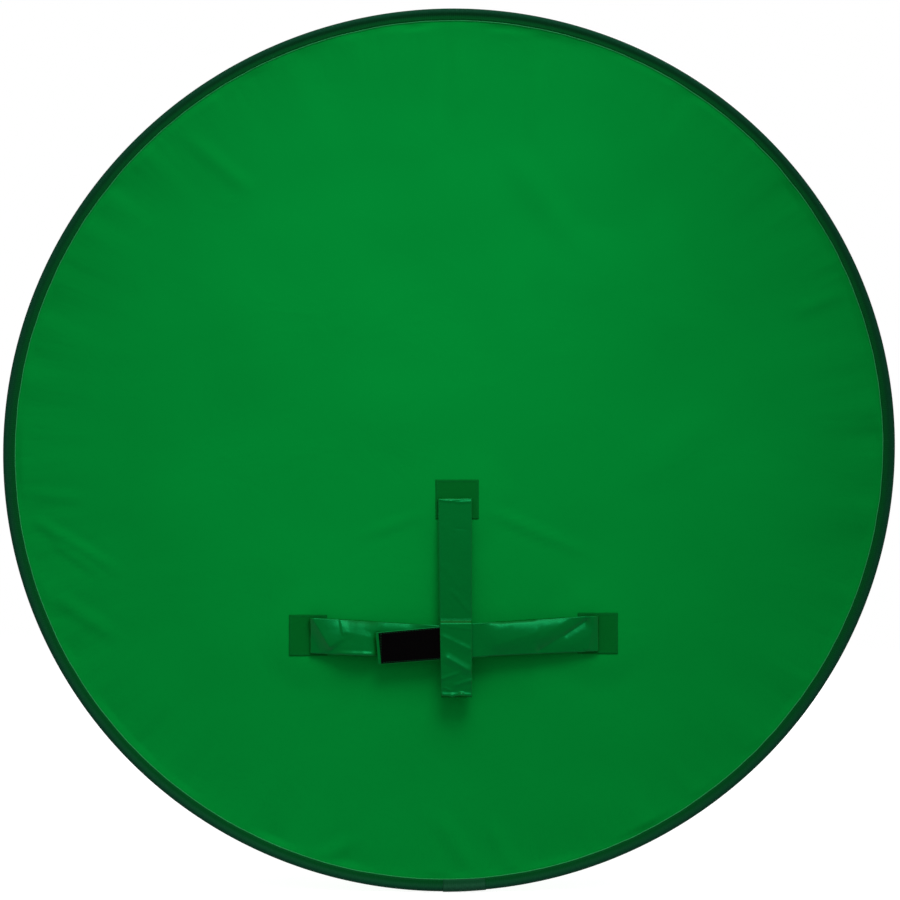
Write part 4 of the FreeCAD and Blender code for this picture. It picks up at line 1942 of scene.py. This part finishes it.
@dataclass
class SideStraps:
    """Both side straps, with the fastening tapes that are sewn on them."""

    ends: SewnEnd = field(default_factory=SewnEnd)
    left_seam: tuple[float, float] = (-0.234, -0.21951)
    right_seam: tuple[float, float] = (0.227, -0.21635)
    left_end_x: float = 0.0237
    right_end_x: float = -0.1267
    left_fold_x: float = -0.042
    right_fold_x: float = 0.035
    tab_fold_x: float = -0.04838
    tab_hinge_height: float = 0.0273
    hidden_x: float = 0.0
    hook_length: float = 0.118
    hook_end_margin: float = 0.0045
    hook_edge_margin: float = 0.001
    hook_base: float = 0.0006
    hook_height: float = 0.0014
    hook_pitch: float = 0.002
    hook_field_start: float = 0.003
    hook_field_end: float = 0.0015
    hook_field_edge: float = 0.003
    hook_sides: int = 4
    hook_foot: float = 0.00032
    hook_tip: float = 0.00018
    hook_lean_radians: float = 0.35
    loop_tape: float = 0.0012
    loop_tape_fold_margin: float = 0.008
    left_cells: tuple[int, int] = (330, 34)
    right_cells: tuple[int, int] = (260, 34)
    tab_cells: tuple[int, int] = (130, 34)
    hook_cells: tuple[int, int] = (118, 40)
    pile_cells: tuple[int, int] = (84, 48)

    def __post_init__(self) -> None:
        """Lay out the two straps."""
        self.left = SideStrap(
            side=Side.LEFT,
            ends=self.ends,
            seam=self.left_seam,
            layer_height=0.0212,
            bow=1.2,
            end_along=self.left_end_x - self.left_seam[0],
            creases=LEFT_CREASES,
            top_curl=0.0034,
            lean=0.27,
            bulge=0.0022,
        )
        self.right = SideStrap(
            side=Side.RIGHT,
            ends=self.ends,
            seam=self.right_seam,
            layer_height=0.0254,
            bow=0.9,
            end_along=self.right_seam[0] - self.right_end_x,
            creases=RIGHT_CREASES,
            top_curl=0.0018,
            lean=0.03,
            bulge=0.0056,
        )

    def build_left(self) -> None:
        """Build the left strap and its end inside the loop."""
        strap = self.left.strap
        length = self.left.end
        piece = strap.sheet("left_strap_cloth", 0.0, length, self.left_cells, self.ends.strap, STRAP_CLOTH)
        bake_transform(piece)
        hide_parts("left_strap_arm", "left_strap_end")
        report(piece)

    def build_right(self) -> None:
        """Build the right strap in two lengths that meet under the loop."""
        strap = self.right.strap
        meeting = self.right.distance(self.hidden_x)
        run = strap.sheet("right_strap_cloth", 0.0, meeting, self.right_cells, self.ends.strap, STRAP_CLOTH)
        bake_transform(run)
        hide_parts("right_strap_arm", "right_strap_middle")
        slope = math.radians(self.right.end_slope)
        strap.end_lean = self.right.half_width(self.right.end_along) * math.tan(slope)
        end = self.right.end
        tab = strap.sheet("hook_tab_cloth", meeting, end, self.tab_cells, self.ends.strap, STRAP_CLOTH)
        self.peel(tab)
        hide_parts("right_strap_tab")
        report(run)
        report(tab)

    def peel(self, piece: bpy.types.Object) -> None:
        """Bake a piece on the free end into its place, without bending it.

        Args:
            piece: The piece.
        """
        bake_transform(piece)

    def hook_span(self) -> tuple[float, float]:
        """Where the hook tape starts and ends along the right strap."""
        end = self.right.end - self.hook_end_margin
        return end - self.hook_length, end

    def build_hook_tape(self) -> None:
        """Build the hook tape's base and its field of small hooks."""
        strap = self.right.strap
        start, end = self.hook_span()
        rise = self.ends.strap / 2 + self.hook_base / 2
        base = strap.sheet(
            "hook_tape_base",
            start,
            end,
            self.hook_cells,
            self.hook_base,
            HOOK_NYLON,
            rise,
            self.hook_edge_margin,
        )
        self.peel(base)
        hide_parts("hook_tape_root", "hook_tape_end")
        report(base)
        hooks = self.build_hooks(strap, start + self.hook_field_start, end - self.hook_field_end)
        self.peel(hooks)
        report(hooks)

    def build_hooks(self, strap: Strap, start: float, end: float) -> bpy.types.Object:
        """Stand small hooks on the tape in rows, each leaning the other way from the last.

        Args:
            strap: The strap that carries the tape.
            start: Where the field starts.
            end: Where it ends.

        Returns:
            The hooks as one piece.
        """
        mesh = bmesh.new()
        ground = self.ends.strap / 2 + self.hook_base
        height = self.hook_height - self.hook_base
        columns = int((end - start) / self.hook_pitch)
        for column in range(columns):
            distance = start + column * self.hook_pitch
            whole = self.right.half_width(strap.profile.at(distance)[0])
            half = whole - self.hook_edge_margin - self.hook_field_edge
            rows = int(2 * half / self.hook_pitch)
            for row in range(rows):
                share = (row + 0.5) / rows * 2.0 - 1.0
                foot = strap.point(distance, share * half / whole, ground)
                made = bmesh.ops.create_cone(
                    mesh,
                    cap_ends=True,
                    segments=self.hook_sides,
                    radius1=self.hook_foot,
                    radius2=self.hook_tip,
                    depth=height,
                )
                lean = self.hook_lean_radians if (row + column) % 2 else -self.hook_lean_radians
                turn = Matrix.Rotation(math.radians(90.0), 3, "X") @ Matrix.Rotation(lean, 3, "X")
                for vertex in made["verts"]:
                    vertex.co = foot + turn @ (vertex.co + Vector((0.0, 0.0, height / 2)))
        bmesh.ops.recalc_face_normals(mesh, faces=mesh.faces)
        return to_object(mesh, "hook_field", HOOK_NYLON, smooth=False)

    def build_loop_tape(self) -> None:
        """Build the soft loop tape on the back of the left strap's end."""
        strap = self.left.strap
        start = self.left.distance(self.left_fold_x) + self.loop_tape_fold_margin
        end = self.left.end - self.hook_end_margin
        rise = -(self.ends.strap + self.loop_tape) / 2
        piece = strap.sheet(
            "loop_tape_pile",
            start,
            end,
            self.pile_cells,
            self.loop_tape,
            LOOP_NYLON,
            rise,
            self.hook_edge_margin,
        )
        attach(piece, "left_end")
        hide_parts("loop_tape")
        report(piece)


# Sewing


@dataclass
class Sewing:
    """All the rows of stitches; each but the hook tape's rides on the body that it is sewn through."""

    binding: Binding
    patches: list[Patch]
    top: TopStrap
    sides: SideStraps
    binding_inset: float = 0.0163
    fold_gap: float = 0.004
    hook_end_inset: float = 0.0018

    def binding_row(self, face: Face) -> None:
        """Sew the binding to the cloth on one face.

        Args:
            face: The face that the thread shows on.
        """
        row = StitchRow(f"binding_stitches_{face.name.lower()}", finish=DARK_THREAD)
        outline = self.binding.outline
        height = self.binding.middle + face.value * (self.binding.middle + self.binding.tape)
        reach = outline.diameter / 2
        outward = Vector((0.0, face.value, 0.0))
        row.add(
            lambda run: (outline.point(run / reach, self.binding_inset, height), outward),
            math.tau * reach,
        )
        piece = row.build()
        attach(piece, "screen")

    def patch_rows(self) -> None:
        """Sew the patches round their edges, on both faces of the screen."""
        for face in Face:
            row = StitchRow(f"patch_stitches_{face.name.lower()}", finish=GREEN_THREAD)
            for patch in self.patches:
                patch.sew(row, face)
            if face is Face.BACK:
                for strap in (self.top.strap, self.sides.left.strap, self.sides.right.strap):
                    self.sides.ends.sew_back(row, strap)
            piece = row.build()
            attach(piece, "screen")

    def strap_rows(self) -> None:
        """Sew the edges of the three straps, the loop's lap and the hook tape."""
        arm_row = StitchRow("top_strap_stitches")
        loop_row = StitchRow("loop_stitches")
        self.top.sew(arm_row, loop_row)
        arm = arm_row.build()
        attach(arm, "top_strap")
        loop = loop_row.build()
        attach(loop, "loop")
        seam_start = self.sides.ends.seam_start
        left_row = StitchRow("left_strap_stitches")
        left = self.sides.left
        left.sew(left_row, seam_start, left.distance(self.sides.left_fold_x - self.fold_gap))
        left_piece = left_row.build()
        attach(left_piece, "left_strap")
        right_row = StitchRow("right_strap_stitches")
        right = self.sides.right
        right.sew(right_row, seam_start, right.distance(self.sides.right_fold_x + self.fold_gap))
        right_piece = right_row.build()
        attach(right_piece, "right_strap")
        hook_piece = self.hook_row()

    def hook_row(self) -> bpy.types.Object:
        """Sew the hook tape along its edges and its free end.

        Returns:
            The row.
        """
        row = StitchRow("hook_tape_stitches", finish=DARK_THREAD)
        strap = self.sides.right.strap
        start, end = self.sides.hook_span()
        rise = self.sides.ends.strap / 2 + self.sides.hook_base
        for side in (-1.0, 1.0):
            strap.sew_edge(row, side, start, end, rise)
        strap.sew_across(row, end - self.hook_end_inset, rise)
        piece = row.build()
        self.sides.peel(piece)
        return piece


# Studio


@dataclass
class Studio:
    """The pale floor, the soft lamp and the camera."""

    view_centre: tuple[float, float] = (-0.0104, 0.0768)
    camera_distance: float = 5.0
    view_width: float = 1.44
    sensor: float = 36.0
    ambient: float = 0.68
    lamp_power: float = 5.4
    lamp_size: float = 1.22
    lamp_elevation: float = 54.7
    lamp_distance: float = 1.95
    lamp_side: float = 0.39
    lamp_spread: float = 66.7
    lamp_target: tuple[float, float] = (-0.19, -0.097)
    back_power: float = 110.0
    back_place: tuple[float, float, float] = (1.2, 4.2, 2.6)
    back_spread: float = 180.0
    floor_glow: float = 0.66
    floor_colour: float = 0.5
    floor_half: float = 20.0
    floor_gap: float = 0.0005

    def world(self) -> None:
        """Light the scene evenly from all round, and show white behind it."""
        world = bpy.data.worlds.new("pale_room")
        bpy.context.scene.world = world
        nodes = Nodes(world, "World")
        strength = nodes.ramp(nodes.seen_rays(), 0.0, 1.0, self.ambient, 1.0)
        background = nodes.add("Background", {"Color": WHITE, "Strength": strength})
        nodes.finish(background.outputs["Background"])

    def floor(self, height: float) -> None:
        """Lay the floor under the screen.

        Args:
            height: The lowest point of the object.
        """
        mesh = bmesh.new()
        bmesh.ops.create_grid(mesh, x_segments=1, y_segments=1, size=self.floor_half)
        bmesh.ops.translate(mesh, verts=mesh.verts, vec=(0.0, 0.0, height - self.floor_gap))
        data = bpy.data.meshes.new("floor")
        mesh.to_mesh(data)
        mesh.free()
        floor = bpy.data.objects.new("floor", data)
        bpy.context.scene.collection.objects.link(floor)
        nodes = Nodes(bpy.data.materials.new("floor_pale"))
        paint = nodes.add("BsdfDiffuse", {"Color": opaque((self.floor_colour,) * 3)})
        strength = nodes.math("MULTIPLY", nodes.seen_rays(), self.floor_glow)
        glow = nodes.add("Emission", {"Color": WHITE, "Strength": strength})
        both = nodes.add("AddShader", {"0": paint.outputs["BSDF"], "1": glow.outputs["Emission"]})
        nodes.finish(both.outputs["Shader"])
        data.materials.append(nodes.owner)
        floor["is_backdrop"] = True

    def lamp(self, name: str, place: Vector, target: Vector, power: float, spread: float) -> None:
        """Hang one large soft lamp.

        Args:
            name: The lamp's name.
            place: Where it hangs.
            target: The point that it faces.
            power: Its power.
            spread: How wide its light fans out, in degrees.
        """
        data = bpy.data.lights.new(name, "AREA")
        data.shape = "DISK"
        data.size = self.lamp_size
        data.energy = power
        data.spread = math.radians(spread)
        lamp = bpy.data.objects.new(name, data)
        lamp.location = place
        lamp.rotation_euler = (target - place).to_track_quat("-Z", "Y").to_euler()
        bpy.context.scene.collection.objects.link(lamp)

    def lamps(self) -> None:
        """Hang the main lamp in front of the screen and above it, and a plain one for its back."""
        rise = math.radians(self.lamp_elevation)
        target = Vector((self.lamp_target[0], 0.0, self.lamp_target[1]))
        back = -self.lamp_distance * math.cos(rise)
        up = self.lamp_distance * math.sin(rise)
        place = target + Vector((self.lamp_side, back, up))
        self.lamp("front_lamp", place, target, self.lamp_power, self.lamp_spread)
        middle = Vector((0.0, 0.0, 0.0))
        self.lamp("back_lamp", Vector(self.back_place), middle, self.back_power, self.back_spread)

    def camera(self) -> None:
        """Set the camera square in front of the screen."""
        data = bpy.data.cameras.new("front_camera")
        data.sensor_width = self.sensor
        data.lens = self.sensor * self.camera_distance / self.view_width
        camera = bpy.data.objects.new("front_camera", data)
        camera.location = (self.view_centre[0], -self.camera_distance, self.view_centre[1])
        camera.rotation_euler = (math.radians(90.0), 0.0, 0.0)
        bpy.context.scene.collection.objects.link(camera)
        bpy.context.scene.camera = camera

    def build(self, lowest: float) -> None:
        """Set up the whole studio.

        Args:
            lowest: Height of the object's lowest point.
        """
        scene = bpy.context.scene
        scene.view_settings.view_transform = "Standard"
        self.world()
        self.floor(lowest)
        self.lamps()
        self.camera()


def dress_node(node: str, finish: Finish) -> None:
    """Give a CAD node that stays in the scene its finish.

    Args:
        node: The node's name.
        finish: The finish for all its faces.
    """
    for slot in bpy.data.objects[node].material_slots:
        slot.material = material_of(finish)
    log.info("%s: finish %s", node, finish.name)


def box_list(box: Sequence[Sequence[float]]) -> list[list[float]]:
    """Turn a box of two corners into plain lists of numbers."""
    return [[float(value) for value in corner] for corner in box]


def main() -> None:
    """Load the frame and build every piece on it."""
    logging.basicConfig(level=logging.INFO, format="%(message)s")
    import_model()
    cad_box = box_list(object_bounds())
    outline = Outline()
    cloth = ScreenCloth(outline)
    binding = Binding(outline)
    sides = SideStraps()
    top = TopStrap(sides.ends)
    patches = [
        Patch("patch_top", "top_patch", (0.001, -0.002), (0.069, 0.063), cloth),
        Patch("patch_left", "left_patch", (-0.2375, sides.left_seam[1]), (0.061, 0.066), cloth),
        Patch("patch_right", "right_patch", (0.226, sides.right_seam[1]), (0.064, 0.066), cloth),
    ]
    cloth.build()
    binding.build()
    for patch in patches:
        patch.build()
    ends = sides.ends
    ends.build_hem("top_hem", "top_strap_hem", top.strap, "patch_top")
    ends.build_hem("left_hem", "left_strap_hem", sides.left.strap, "patch_left")
    ends.build_hem("right_hem", "right_strap_hem", sides.right.strap, "patch_right")
    top.build()
    sides.build_left()
    sides.build_right()
    sides.build_hook_tape()
    sides.build_loop_tape()
    sewing = Sewing(binding, patches, top, sides)
    for face in Face:
        sewing.binding_row(face)
    sewing.patch_rows()
    sewing.strap_rows()
    dress_node("spring_hoop", SPRING_STEEL)
    dress_node("hoop_ferrule", FERRULE_METAL)
    Studio().build(cad_box[0][2])


if __name__ == "__main__":
    main()
